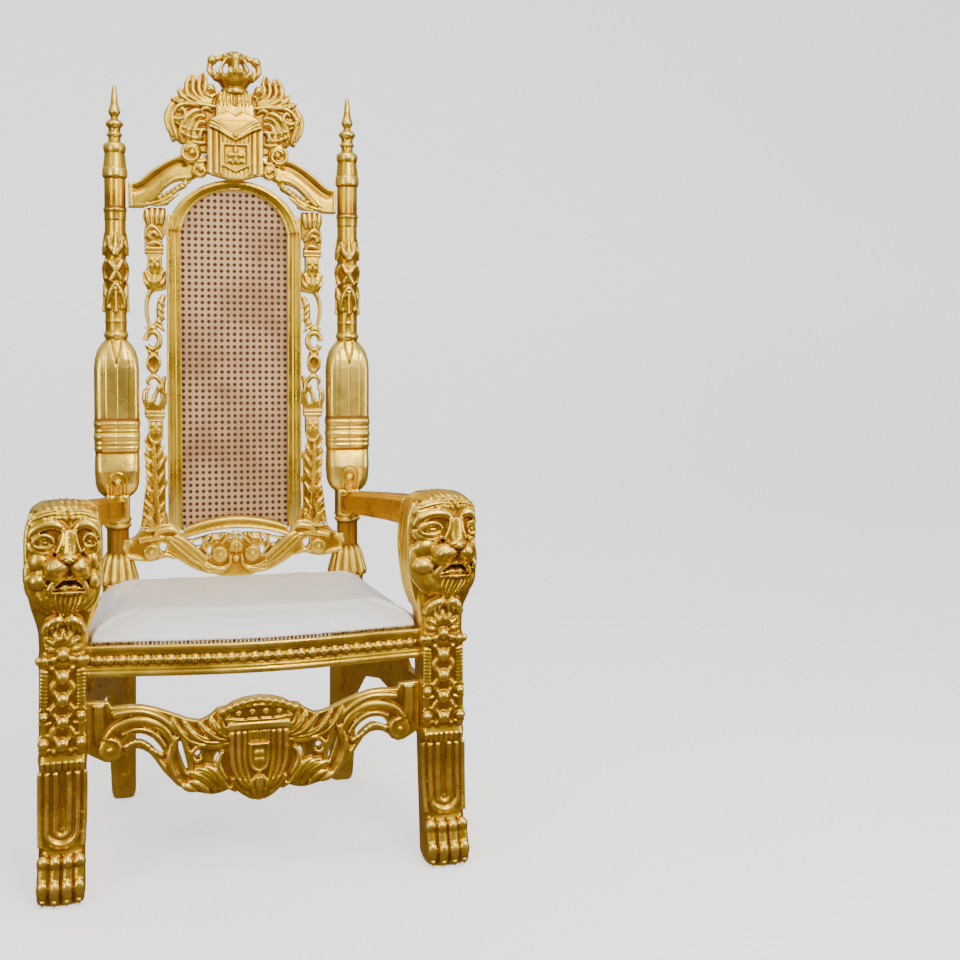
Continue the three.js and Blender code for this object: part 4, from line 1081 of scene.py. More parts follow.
# leaf cap with its turned-over tips
for x, top in ((170, 1440), (182, 1443), (195, 1444), (207, 1441)):
    hang([(190 + (x - 190) * 0.75, 1404), (190 + (x - 190) * 0.9, 1424), (x, top)], [4, 6.5, 5], 1, 6)
hang([(172, 1372), (182, 1390), (196, 1398), (208, 1388), (209, 1372)], [5, 6, 6.5, 6, 4], 2)
hang([(182, 1374), (190, 1384), (198, 1382), (200, 1372), (193, 1366)], [3, 4.5, 5, 4.5, 3], 3)
hang([(172, 1352), (184, 1360), (198, 1358), (211, 1354)], [4, 6, 6, 4], 1)
for z in (1346, 952):
    for drop, half in ((0, 3.6), (9, 2.6)):
        side_wood.board([(168, z - drop - half), (213, z - drop - half), (213, z - drop + half),
                         (168, z - drop + half)], -24 + drop * 0.2, -4, (), 1.2)
for top in (1333, 935):
    # small shield with a flower
    side_wood.board([(173, top), (207, top), (207, top - 34), (199, top - 46), (190, top - 51),
                     (181, top - 46), (173, top - 34)], -21, -4, (), 1.2)
    for turn in (0, 90, 180, 270):
        a = math.radians(turn + 45)
        side_wood.lump(190 + 8.5 * math.cos(a), -21, top - 21 + 9 * math.sin(a), 6.5, 4.5, 6.5)
    side_wood.lump(190, -23, top - 21, 4)
    hang([(172, top - 38), (180, top - 52), (190, top - 57), (200, top - 52), (208, top - 38)],
         [2, 4, 4.5, 4, 2], 2)
# tulip leaves
for side in (-1, 1):
    hang([(191 + side * 2, 1252), (191 + side * 9, 1268), (191 + side * 22, 1292)], [3, 6, 2.5], 2)
    hang([(191 + side * 5, 1250), (191 + side * 17, 1262), (191 + side * 25, 1274)], [4, 6, 3], -1)
hang([(191, 1282), (191, 1266), (191, 1250)], [6, 6, 2], 4)
for x, z in ((170, 1214), (172, 1198), (170, 1182), (176, 1168), (172, 1154)):
    hang([(x + 12, z + 8), (x + 3, z + 1), (x - 5, z - 7)], [3, 5, 2], -2)
# heart knots and scroll curl
for side in (-1, 1):
    hang([(194, 1050), (194 + side * 13, 1066), (194 + side * 10, 1082), (194, 1090)], [3, 5.5, 6, 4], 0)
    hang([(194, 1092), (194 + side * 9, 1098), (194 + side * 8, 1108)], [3, 4, 2], -1)
side_wood.lump(182, -16, 1012, 7, 6, 7)
# long leaf: a midrib and lobes that reach out past each other
hang([(194, 878), (194, 840), (192, 790), (188, 730), (182, 680)], [3.5, 5, 5.5, 6, 6], 3)
for z, reach in ((868, 216), (838, 217), (806, 214), (770, 214), (732, 219), (700, 222)):
    hang([(196, z - 26), (204, z - 8), (reach, z + 6)], [4, 7.5, 2.5], 0)
    hang([(198, z - 34), (207, z - 18), (reach - 1, z - 10)], [4, 7, 3], -1)
    hang([(188, z - 26), (179, z - 10), (171, z + 2)], [4, 6.5, 2.5], 0)
hang([(206, 704), (214, 690), (221, 676)], [5, 7, 5], -1)
hang([(176, 706), (172, 692), (170, 676)], [5, 6, 5], -1)
side_wood.fuse(1.5)
for x in (176, 189, 202):
    side_wood.gouge([(190 + (x - 190) * 0.8, 1405), (x, 1443)], 2, 2)
for z in (868, 838, 806, 770, 732, 700):
    side_wood.gouge([(197, z - 22), (205, z - 7), (213, z + 4)], 1.8, 1.8)
    side_wood.gouge([(187, z - 22), (180, z - 9), (174, z)], 1.8, 1.6)
side_wood.gouge([(194, 872), (193, 800), (188, 720), (183, 680)], 1.8, 1.6)
for side in (-1, 1):
    side_wood.gouge([(191 + side * 4, 1256), (191 + side * 18, 1286)], 1.8, 1.6)
    side_wood.gouge([(194 + side * 4, 1056), (194 + side * 9, 1068), (194 + side * 5, 1082)], 2, 2)
side_wood.gouge([(203, 1232), (206, 1200), (201, 1170)], 2, 1.8)
hanging_right = side_wood.finish(56000)
hanging_right.data.materials.append(gilding)
hanging_left = other_side(hanging_right, "hanging_carving_left")
fix_to_throne(hanging_right, "gilt_wood", "side_carving_right")
fix_to_throne(hanging_left, "gilt_wood", "side_carving_left")

# ---------------------------------------------------------------------------
# Back apron. A pierced board under the frame, tenoned into the posts: two broad S leaves roll into
# volutes beside a small drop, and smaller volutes stand by the posts.
# ---------------------------------------------------------------------------

apron = Carving("scrolled_apron")
APRON_FACE = -25
APRON_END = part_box("back_apron")[1].x / MM
tail = [(0, 646), (24, 654), (60, 652), (104, 640), (134, 640), (136, 670), (228, 670), (231, 662),
        (242, 650), (256, 645), (APRON_END, 644), (APRON_END, 602), (254, 601), (238, 595), (220, 590),
        (204, 590), (190, 592), (176, 597), (158, 599), (142, 594), (122, 580), (96, 565), (74, 557),
        (48, 552), (36, 547), (0, 547)]
pierced = [[(62, 645), (104, 634), (94, 624), (76, 628)], [(61, 622), (72, 610), (70, 598), (60, 604)],
           [(165, 628), (180, 634), (181, 620), (173, 612)], [(6, 640), (14, 648), (26, 646), (18, 636)],
           [(36, 644), (48, 648), (54, 640), (44, 634)]]
apron.board(tail, APRON_FACE + 3, 2, pierced, 1.5)


def scroll_leaf(points, widths, out=0.0, rise=None):
    apron.strand(points, widths, APRON_FACE - out, rise)


def volute(wood, x, z, r, face, start, way=1, turns=1.6, thick=0.2):
    """A rolled leaf end: a spiral rim that tightens on a round eye."""
    angles = np.linspace(0, 2 * math.pi * turns, int(12 * turns))
    roll = [(x + (r * (1 - 0.6 * a / angles[-1]) - r * thick * 0.8) * math.cos(start + way * a),
             z + (r * (1 - 0.6 * a / angles[-1]) - r * thick * 0.8) * math.sin(start + way * a))
             for a in angles]
    wood.strand(roll, [r * thick, r * thick * 0.95, r * thick * 0.7], face - 2)
    wood.lump(x, face - 2, z, r * 0.9, 5, r * 0.9)
    wood.lump(x, face - 4, z, r * 0.26, r * 0.22, r * 0.26)


scroll_leaf([(168, 646), (140, 640), (112, 618), (92, 596), (64, 572), (34, 566), (16, 580)],
            [6, 11, 12, 12, 11, 9, 4], 0, 9)
scroll_leaf([(150, 652), (128, 642), (104, 622), (86, 606), (70, 590)], [3, 7, 7, 6, 3], 5, 6)
scroll_leaf([(160, 640), (136, 620), (108, 594), (80, 574)], [3, 5, 6, 3], 4, 5)
scroll_leaf([(14, 596), (17, 576), (36, 560), (62, 560), (84, 572)], [3, 4, 4.5, 4.5, 3], 3)
volute(apron, 39, 601, 21, APRON_FACE, 0.4, 1, 1.5)
volute(apron, 203, 612, 21, APRON_FACE, 2.6, -1, 1.5)
scroll_leaf([(196, 652), (180, 664), (158, 668), (140, 660), (136, 648)], [5, 8, 8, 7, 3], 0, 8)
scroll_leaf([(216, 666), (196, 668), (176, 676), (156, 676), (142, 668)], [4, 6, 6, 6, 3], -1, 7)
scroll_leaf([(232, 640), (206, 646), (184, 648), (160, 646)], [7, 9, 8, 4], -2, 6)
scroll_leaf([(186, 598), (170, 606), (156, 602), (144, 596)], [4, 7, 6, 3], -1, 6)
scroll_leaf([(250, 640), (262, 624), (256, 606)], [6, 9, 6], -4, 6)
scroll_leaf([(222, 596), (240, 600), (262, 606)], [4, 7, 7], -3, 6)
scroll_leaf([(2, 660), (14, 648), (26, 638), (36, 626)], [3, 5, 5, 3], -1)
scroll_leaf([(30, 654), (40, 642), (56, 640), (62, 630)], [3, 4.5, 4.5, 3], -1)
scroll_leaf([(60, 652), (76, 640), (78, 620), (66, 604)], [3, 5, 5, 3], -1)
scroll_leaf([(2, 634), (10, 624), (12, 608)], [4, 6, 4], -1)
apron.lump(0, APRON_FACE, 590, 8, 6, 9)
apron.lump(0, APRON_FACE + 1, 618, 9, 6, 16)
apron.both_sides()
apron.fuse(1.7)


def cut_apron(points, width, depth):
    for side in (-1, 1):
        apron.gouge([(side * x, z) for x, z in points], width, depth)


for points in ([(150, 646), (126, 632), (100, 608), (74, 584)],
               [(150, 638), (122, 612), (92, 588), (66, 574)], [(190, 656), (170, 664), (148, 660)],
               [(210, 668), (184, 672), (158, 676)], [(90, 566), (60, 566), (36, 572)], [(4, 640), (4, 600)]):
    cut_apron(points, 2, 2)
apron_piece = apron.finish(60000)
apron_piece.data.materials.append(gilding)
fix_to_throne(apron_piece, "gilt_wood", "back_apron")

# ---------------------------------------------------------------------------
# Seat rails. The front rail bows forward and carries a row of turned half-beads over a moulding;
# the side and back rails are plain boards that the cushion hides.
# ---------------------------------------------------------------------------

RAIL_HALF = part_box("seat_rail_front")[1].x / MM
RAIL_END_FRONT = -545
SEAT_CURVE = 40


def bow(x):
    return SEAT_CURVE * math.cos(min(abs(x) / 341, 1) * math.pi / 2) ** 1.4


front_rail = Carving("beaded_rail")
spots = np.linspace(-RAIL_HALF, RAIL_HALF, 33)
for level, wide, tall, out in ((476, 8, 31, 0), (450, 14, 6.5, -5), (459, 11, 4, -3), (490.5, 9, 3.2, -2),
                               (465, 9, 3, -1.5), (500, 8, 8, -2.5)):
    # bands of moulding, each a bar of its own section bent to the bow
    bar = bmesh.new()
    rings = []
    for x in spots:
        y = RAIL_END_FRONT - bow(x) + out
        section = bmesh.ops.create_circle(bar, segments=16, radius=1)["verts"]
        for vert in section:
            deep = math.copysign(abs(vert.co.x) ** 0.5, vert.co.x) * wide
            high = math.copysign(abs(vert.co.y) ** 0.5, vert.co.y) * tall
            vert.co = place(x, y + wide + deep, level + high)
        rings.append(list({edge for vert in section for edge in vert.link_edges}))
    for a, b in zip(rings, rings[1:]):
        bmesh.ops.bridge_loops(bar, edges=a + b)
    bmesh.ops.holes_fill(bar, edges=[e for e in bar.edges if e.is_boundary], sides=0)
    bmesh.ops.recalc_face_normals(bar, faces=bar.faces)
    front_rail.merge(bar)
beads = 28
pitch = (2 * 341 - 14) / beads
for i in range(beads):
    x = (i - (beads - 1) / 2) * pitch
    front_rail.lump(x, RAIL_END_FRONT - bow(x) - 0.5, 478, pitch * 0.40, 8, 9)
    for side in (-1, 1):
        front_rail.lump(x + side * pitch / 2, RAIL_END_FRONT - bow(x + pitch / 2), 478, 2.2, 4, 8.5)
front_rail.fuse(1.8, 1)
beaded_rail = front_rail.finish(52000)
beaded_rail.data.materials.append(gilding)
fix_to_throne(beaded_rail, "gilt_wood", "seat_rail_front")

frame["nodes"]["seat_rail_back"].data.materials.clear()
frame["nodes"]["seat_rail_back"].data.materials.append(gilding)
for side, name in ((-1, "left"), (1, "right")):
    # a plain board from the leg to the post, flush with the post's outer face
    bar = bmesh.new()
    bmesh.ops.create_cube(bar, size=1)
    for vert in bar.verts:
        ahead = vert.co.y < 0
        x = (362 if ahead else 303) + vert.co.x * 26
        vert.co = place(side * x, -474 if ahead else -36, 476 + vert.co.z * 63)
    bmesh.ops.recalc_face_normals(bar, faces=bar.faces)
    bmesh.ops.bevel(bar, geom=bar.edges[:], offset=2 * MM, affect="EDGES", segments=2, profile=0.5,
                    material=-1)
    bar_mesh = bpy.data.meshes.new("side_rail_" + name)
    bar.to_mesh(bar_mesh)
    bar.free()
    bar_mesh.materials.append(gilding)
    side_rail = bpy.data.objects.new("side_rail_" + name, bar_mesh)
    bpy.context.scene.collection.objects.link(side_rail)
    fix_to_throne(side_rail, "gilt_wood", "seat_rail_" + name)

# ---------------------------------------------------------------------------
# Seat cushion. Foam under white vinyl, pulled down over the rails' tops and nailed along its edge,
# so that it is crowned in the middle and tight at the rim.
# ---------------------------------------------------------------------------

seat_low, seat_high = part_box("seat_cushion")
SEAT_BOTTOM = seat_low.z / MM
SEAT_TOP = seat_high.z / MM
SEAT_BACK = seat_high.y / MM - POST_LINE
seat = bmesh.new()
bmesh.ops.create_grid(seat, x_segments=44, y_segments=40, size=1)
for vert in seat.verts:
    across, deep = vert.co.x, (vert.co.y + 1) / 2
    half = (354 + (319 - 354) * deep)
    x = across * half
    y = (RAIL_END_FRONT + 7 - bow(x) * 0.95) * (1 - deep) + (SEAT_BACK - 2) * deep
    vert.co = place(x, y, SEAT_BOTTOM + 1)
lid = bmesh.ops.extrude_face_region(seat, geom=list(seat.faces))["geom"]
for vert in (g for g in lid if isinstance(g, bmesh.types.BMVert)):
    x, y = vert.co.x / MM, vert.co.y / MM - POST_LINE
    deep = min(max((y - RAIL_END_FRONT + 33) / (SEAT_BACK - RAIL_END_FRONT + 33), 0), 1)
    half = 354 + (319 - 354) * deep
    across = min(abs(x) / half, 1)
    front = RAIL_END_FRONT + 7 - bow(x) * 0.95
    from_front = (y - front) / (SEAT_BACK - front)
    rim = min((1 - across) * 7, max(from_front, 0) * 9, (1 - from_front) * 8, 1)
    vert.co.z += (17 + (SEAT_TOP - SEAT_BOTTOM - 20) * math.sin(max(rim, 0) * math.pi / 2)) * MM
seat_mesh = bpy.data.meshes.new("seat")
bmesh.ops.recalc_face_normals(seat, faces=seat.faces)
seat.to_mesh(seat_mesh)
seat.free()
seat_pad = bpy.data.objects.new("vinyl_cushion", seat_mesh)
bpy.context.scene.collection.objects.link(seat_pad)
# cut round the legs and the posts
for name in ("front_leg_left", "front_leg_right", "rear_post_left", "rear_post_right"):
    side = math.copysign(1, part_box(name)[0].x)
    notch_bm = bmesh.new()
    if "leg" in name:
        size, centre = (106, 130, 200), place(side * 389, -538, 560)
    else:
        size, centre = (78, 90, 200), place(side * POST_X, 6, 560)
    bmesh.ops.create_cube(notch_bm, size=MM, matrix=Matrix.Translation(centre) @ Matrix.Diagonal((*size, 1)))
    notch_mesh = bpy.data.meshes.new("notch")
    notch_bm.to_mesh(notch_mesh)
    notch_bm.free()
    notch = bpy.data.objects.new("notch", notch_mesh)
    bpy.context.scene.collection.objects.link(notch)
    cut = seat_pad.modifiers.new("notch", "BOOLEAN")
    cut.operation = "DIFFERENCE"
    cut.solver = "EXACT"
    cut.object = notch
remeshed = seat_pad.modifiers.new("even", "REMESH")
remeshed.mode = "VOXEL"
remeshed.voxel_size = 5.5 * MM
seat_mesh = applied(seat_pad)
for leftover in [o for o in bpy.data.objects if o.name.startswith("notch")]:
    bpy.data.objects.remove(leftover)
flat = np.empty(len(seat_mesh.vertices) * 3, np.float32)
seat_mesh.vertices.foreach_get("co", flat)
before = flat.reshape(-1, 3).copy()
# the filling pushes the cover up from inside while its lower edge stays nailed
pad = bpy.data.objects.new("pad_being_filled", seat_mesh)
bpy.context.scene.collection.objects.link(pad)
nailed = pad.vertex_groups.new(name="nailed")
grip = np.clip(1 - (before[:, 2] / MM - SEAT_BOTTOM - 4) / 10, 0, 1)
for index in np.nonzero(grip > 0)[0]:
    nailed.add([int(index)], float(grip[index]), "REPLACE")
cloth = pad.modifiers.new("filling", "CLOTH")
cloth.settings.quality = 6
cloth.settings.mass = 0.3
cloth.settings.tension_stiffness = 25
cloth.settings.compression_stiffness = 25
cloth.settings.bending_stiffness = 0.6
cloth.settings.use_pressure = True
cloth.settings.uniform_pressure_force = 4
cloth.settings.vertex_group_mass = "nailed"
cloth.settings.effector_weights.gravity = 0
for step in range(1, 21):
    bpy.context.scene.frame_set(step)
filled = applied(pad)
filled.vertices.foreach_get("co", flat)
swollen = flat.reshape(-1, 3) - before
far = np.linalg.norm(swollen, axis=1, keepdims=True)
swollen *= np.minimum(1, 9 * MM / np.maximum(far, 1e-9))
after = before + swollen
bpy.context.scene.frame_set(1)
seat_mesh = filled
ceiling = (SEAT_TOP + 7) * MM
after[:, 2] = np.where(after[:, 2] > ceiling - 0.004,
                       ceiling - 0.004 * np.exp(-(after[:, 2] - ceiling + 0.004) / 0.004), after[:, 2])
after[:, 2] = np.maximum(after[:, 2], SEAT_BOTTOM * MM)
seat_mesh.vertices.foreach_set("co", after.astype(np.float32).ravel())
seat_mesh.update()
seat_pad = bpy.data.objects.new("vinyl_cushion", seat_mesh)
bpy.context.scene.collection.objects.link(seat_pad)
eased = seat_pad.modifiers.new("eased", "SMOOTH")
eased.factor = 0.5
eased.iterations = 6
fine = seat_pad.modifiers.new("fine", "SUBSURF")
fine.levels = fine.render_levels = 1
seat_mesh.shade_smooth()

vinyl = bpy.data.materials.new("white_vinyl")
vinyl.use_nodes = True
tree = vinyl.node_tree
where = node(tree, "ShaderNodeTexCoord").outputs["Object"]
cells = node(tree, "ShaderNodeTexVoronoi", None, Vector=where, Scale=620.0).outputs["Distance"]
soil = noise(tree, where, 5.0, 4.0).outputs[0]
color = mixed(tree, between(tree, soil, 0.35, 0.75), (0.87, 0.845, 0.80, 1), (0.80, 0.765, 0.70, 1))
tree.links.new(color, tree.nodes["Principled BSDF"].inputs["Base Color"])
rough = between(tree, soil, 0.3, 0.7, 0.36, 0.5)
tree.links.new(rough, tree.nodes["Principled BSDF"].inputs["Roughness"])
tree.nodes["Principled BSDF"].inputs["Coat Weight"].default_value = 0.15
creases = noise(tree, node(tree, "ShaderNodeMapping", None, Vector=where, Scale=(2.0, 6.0, 6.0)).outputs[0],
                5.0, 3.0).outputs[0]
grain = node(tree, "ShaderNodeBump", None, Strength=0.25, Distance=0.0003, Height=cells)
pull = node(tree, "ShaderNodeBump", None, Strength=0.35, Distance=0.006, Height=creases,
            Normal=grain.outputs[0])
tree.links.new(pull.outputs[0], tree.nodes["Principled BSDF"].inputs["Normal"])
seat_mesh.materials.append(vinyl)
fix_to_throne(seat_pad, "vinyl", "seat_cushion")

# ---------------------------------------------------------------------------
# Upholstery nails. Antiqued brass domes side by side along the cushion's lower edge; the narrow
# gimp of the same gold under them is not made.
# ---------------------------------------------------------------------------

NAIL_PITCH = 8.4
NAIL_LINE = 512
nails = bmesh.new()


def nail(x, y, z, out):
    dome = bmesh.ops.create_uvsphere(nails, u_segments=8, v_segments=5, radius=3.9 * MM,
                                     matrix=Matrix.Translation(place(x, y, z)))["verts"]
    centre = place(x, y, z)
    for vert in dome:
        depth = (vert.co - centre).dot(out)
        vert.co -= out * depth * (0.35 if depth > 0 else 0.8)


x = -336.0
while x < 337:
    slope = (bow(x + 1) - bow(x - 1)) / 2
    nail(x, RAIL_END_FRONT - bow(x) + 4.2, NAIL_LINE, Vector((-slope, -1, 0)).normalized())
    x += NAIL_PITCH / math.sqrt(1 + slope * slope)
for side in (-1, 1):
    steps = 54
    for i in range(steps):
        t = (i + 0.5) / steps
        y = -466 + (466 - 42) * t
        x = 352 + (318 - 352) * ((y + 538) / 520)
        nail(side * x, y, NAIL_LINE, Vector((side, 0.17, 0)).normalized())
nails_mesh = bpy.data.meshes.new("brass_nails")
nails.to_mesh(nails_mesh)
nails.free()
nails_mesh.shade_smooth()
brass_nails = bpy.data.objects.new("brass_nails", nails_mesh)
bpy.context.scene.collection.objects.link(brass_nails)
antique = bpy.data.materials.new("antique_brass")
antique.use_nodes = True
tree = antique.node_tree
where = node(tree, "ShaderNodeTexCoord").outputs["Object"]
dull = noise(tree, where, 120.0, 3.0).outputs[0]
color = mixed(tree, between(tree, dull, 0.35, 0.65), (0.10, 0.055, 0.02, 1), (0.42, 0.25, 0.08, 1))
tree.links.new(color, tree.nodes["Principled BSDF"].inputs["Base Color"])
tree.nodes["Principled BSDF"].inputs["Metallic"].default_value = 0.9
tree.links.new(between(tree, dull, 0.3, 0.7, 0.28, 0.5), tree.nodes["Principled BSDF"].inputs["Roughness"])
nails_mesh.materials.append(antique)
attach(brass_nails, "root")

# ---------------------------------------------------------------------------
# Front stretcher. One pierced board between the front legs: an arch with rolled ends on each side,
# sweeping leaves, and in the middle a coronet over a paled shield that ends in a pendant leaf.
# ---------------------------------------------------------------------------

stretcher = Carving("arched_stretcher")
STRETCHER_FACE = -541
STRETCHER_BACK = -520
STRETCHER_END = 345
edge_line = [(0, 383), (28, 380), (52, 373), (66, 364), (84, 362), (94, 352), (104, 346), (118, 339),
             (134, 341), (150, 346), (168, 354), (190, 363), (210, 371), (236, 378), (262, 380), (296, 378),
             (303, 390), (STRETCHER_END, 392), (STRETCHER_END, 286), (328, 276), (312, 267), (298, 264),
             (284, 270), (274, 282), (262, 288), (250, 290), (236, 287), (222, 277), (206, 256), (188, 230),
             (168, 206), (150, 196), (132, 190), (112, 184), (96, 181), (78, 183), (62, 189), (50, 188),
             (36, 176), (20, 165), (0, 160)]
windows = [
    [(277, 298), (266, 316), (252, 320), (236, 319), (218, 310), (204, 294), (194, 276), (203, 271),
     (212, 286), (226, 299), (242, 307), (258, 304)],
    [(161, 303), (164, 286), (158, 262), (150, 240), (144, 226), (147, 246), (152, 270)],
    [(82, 272), (92, 256), (90, 236), (80, 224), (84, 246)],
    [(120, 274), (130, 276), (134, 268), (124, 263)],
    [(60, 300), (70, 304), (72, 294)],
]
stretcher.board(edge_line, STRETCHER_FACE + 2, STRETCHER_BACK, windows, 1.8)


def sweep_leaf(points, widths, out=0.0, rise=None):
    stretcher.strand(points, widths, STRETCHER_FACE - out, rise)


# the arch: a broad moulded band with a roll along its lower edge, ending in a volute at the leg
sweep_leaf([(168, 316), (184, 338), (208, 356), (236, 366), (264, 367), (294, 364)], [5, 6, 7, 7, 7, 6], 2, 6)
sweep_leaf([(176, 296), (188, 318), (206, 336), (232, 347), (262, 347), (290, 336), (306, 316), (308, 298)],
           [6, 9, 10, 10, 10, 9, 8, 5], 1, 7)
sweep_leaf([(190, 290), (204, 312), (226, 328), (252, 331), (276, 322)], [3, 4, 4, 4, 3], 3)
volute(stretcher, 300, 292, 26, STRETCHER_FACE - 1, 1.4, 1, 1.4)
sweep_leaf([(322, 384), (322, 330), (318, 306)], [12, 12, 8], -3, 6)
for i in range(9):
    # small beads along the rope-like rib under the arch
    t = i / 8
    stretcher.lump(268 - 68 * t, STRETCHER_FACE - 1,
                   297 + 10 * math.sin(math.pi * min(t * 1.3, 1)) - 22 * t ** 2, 6, 6, 6.5)
sweep_leaf([(270, 290), (250, 300), (228, 294), (210, 272), (190, 242), (168, 214)], [5, 6, 6, 6, 6, 4], 0)
# leaf that falls from the arch's inner foot, and the long tongue beside it
sweep_leaf([(176, 300), (170, 306), (176, 290), (182, 262), (172, 230), (158, 206)], [5, 8, 9, 10, 9, 4], 0,
           9)
sweep_leaf([(160, 316), (152, 300), (148, 280), (142, 258), (140, 232)], [4, 7, 7, 6, 3], 1, 7)
# leaves that fan from the shield's shoulders up to the arch
sweep_leaf([(64, 296), (86, 302), (106, 316), (124, 338)], [4, 8, 9, 3], 2, 8)
sweep_leaf([(62, 300), (84, 318), (96, 336), (98, 350)], [4, 8, 8, 3], 2, 8)
sweep_leaf([(62, 306), (74, 324), (80, 342), (84, 352)], [3, 6, 6, 3], 1, 7)
sweep_leaf([(72, 292), (104, 296), (134, 312), (154, 342)], [4, 8, 9, 3], 2, 8)
sweep_leaf([(100, 290), (130, 294), (158, 316), (178, 348)], [4, 7, 8, 3], 1, 7)
sweep_leaf([(66, 288), (90, 284), (112, 288), (128, 284), (138, 270), (130, 256), (118, 260)],
           [4, 6, 6, 6, 6, 5, 3], 2)
# lower leaves beside the pendant
for points in ([(150, 232), (130, 228), (108, 214), (88, 190)], [(146, 214), (122, 206), (104, 188)],
               [(132, 240), (110, 232), (92, 216), (76, 190)], [(112, 244), (92, 232), (78, 212), (64, 192)],
               [(158, 210), (146, 202), (128, 194)]):
    sweep_leaf(points, [4, 9, 9, 4], 1, 8)
sweep_leaf([(74, 272), (84, 252), (78, 230), (66, 212)], [4, 7, 7, 4], 1, 7)
sweep_leaf([(56, 214), (44, 196), (26, 180), (8, 168)], [5, 7, 8, 5], 1, 7)
sweep_leaf([(60, 196), (46, 186)], [7, 5], 0, 6)
# shield with its pales, the small shield and the pendant leaf
stretcher.board([(0, 314), (62, 314), (63, 270), (58, 236), (46, 208), (30, 190), (0, 176)],
                STRETCHER_FACE - 6, STRETCHER_BACK - 4, (), 1.5)
for x, half in ((56, 4.6), (42, 4.8), (30, 3.4)):
    stretcher.strand([(x, 310), (x, 264), (x * 0.93, 236), (x * 0.72, 208), (x * 0.42, 190)],
                     [half, half, half * 0.8], STRETCHER_FACE - 6)
stretcher.board([(0, 286), (20, 286), (20, 252), (18, 238), (10, 228), (0, 224)], STRETCHER_FACE - 10,
                STRETCHER_FACE + 2, (), 1.2)
stretcher.strand([(0, 284), (17.5, 284), (18.5, 282), (18.5, 250), (14, 234), (0, 226)], [2.4, 2.4],
                 STRETCHER_FACE - 10)
for x in (5.5, 17):
    stretcher.board([(x - 4, 292), (x + 4, 292), (x + 4, 312), (x - 4, 312)], STRETCHER_FACE - 9,
                    STRETCHER_FACE + 2, (), 1)
stretcher.strand([(0, 216), (0, 196), (0, 168)], [9, 10, 4], STRETCHER_FACE - 6)
stretcher.strand([(6, 214), (16, 200), (12, 182), (4, 168)], [3, 6, 6, 3], STRETCHER_FACE - 5)
# coronet: a banded foot, a bowl studded with pearls and a lobed top
stretcher.board([(0, 316), (64, 316), (66, 323), (64, 330), (0, 330)], STRETCHER_FACE - 10,
                STRETCHER_BACK - 4, (), 2)
stretcher.board([(0, 328), (64, 328), (80, 345), (88, 357), (76, 362), (64, 366), (54, 372), (40, 375),
                 (28, 380), (14, 381), (0, 384)], STRETCHER_FACE - 6, STRETCHER_BACK - 2, (), 3)
for x, z, r in ((0, 377, 8), (17, 375, 8), (33, 372, 8), (48, 368, 8), (62, 362, 8), (76, 356, 8)):
    stretcher.lump(x, STRETCHER_FACE - 6, z, r * 1.05, 6, r * 0.9)
stretcher.strand([(0, 366), (24, 365), (50, 360), (72, 350)], [3, 3, 3, 2.5], STRETCHER_FACE - 7)
stretcher.strand([(0, 336), (40, 336), (68, 340)], [2.4, 2.4], STRETCHER_FACE - 7)
for x, z in ((14, 352), (42, 350), (64, 347)):
    stretcher.lump(x, STRETCHER_FACE - 6, z, 4.5, 4, 4.5)
stretcher.both_sides()
for turn in range(4):
    angle = math.pi / 4 + math.pi / 2 * turn
    stretcher.lump(6.5 * math.cos(angle), STRETCHER_FACE - 10, 258 + 10 * math.sin(angle), 5, 3, 7)
stretcher.fuse(1.8)


def cut_stretcher(points, width, depth):
    for side in (-1, 1):
        stretcher.gouge([(side * x, z) for x, z in points], width, depth)


for points in ([(66, 298), (90, 308), (112, 330)], [(66, 304), (86, 322), (94, 342)],
               [(80, 294), (116, 302), (146, 334)], [(110, 292), (142, 304), (168, 338)],
               [(182, 308), (200, 330), (232, 341), (262, 341), (286, 332)],
               [(140, 230), (114, 218), (94, 196)], [(124, 238), (102, 226), (84, 198)],
               [(178, 290), (176, 258), (164, 220)], [(312, 380), (312, 320)], [(332, 380), (332, 300)],
               [(49, 312), (49, 250), (40, 214)], [(36, 312), (36, 250), (28, 212)]):
    cut_stretcher(points, 2.2, 2)
for x, z in ((14, 352), (42, 350), (64, 347), (28, 338), (0, 338), (56, 336)):
    cut_stretcher([(x - 0.6, z), (x + 0.6, z)], 2.6, 4)
stretcher_piece = stretcher.finish(118000)
stretcher_piece.data.materials.append(gilding)
fix_to_throne(stretcher_piece, "gilt_wood", "front_stretcher")

# ---------------------------------------------------------------------------
# Side aprons and arms. On the throne each apron is an arched board with a fan of slots under the seat rail,
# and each arm a bowed bar with flat cheeks and a rounded back, let into the post and the lion's head;
# here the frame's own pieces are kept and only gilded.
# ---------------------------------------------------------------------------

for name in ("side_apron_left", "side_apron_right", "arm_left", "arm_right"):
    frame["nodes"][name].data.materials.clear()
    frame["nodes"][name].data.materials.append(gilding)

# ---------------------------------------------------------------------------
# Studio: a pale floor that curves up behind, soft lights, and the camera.
# ---------------------------------------------------------------------------

CAMERA_X, CAMERA_BEFORE, CAMERA_HEIGHT = -284.7, -3274.1, 1118.6  # from the posts' centre line
LOOK_ASIDE = math.atan2(0.2686, 0.9633)  # to the right
LOOK_DOWN = math.radians(2.79)
ROLL = math.radians(0.26)
LENS = 49.17
SHIFT_UP = -0.0743

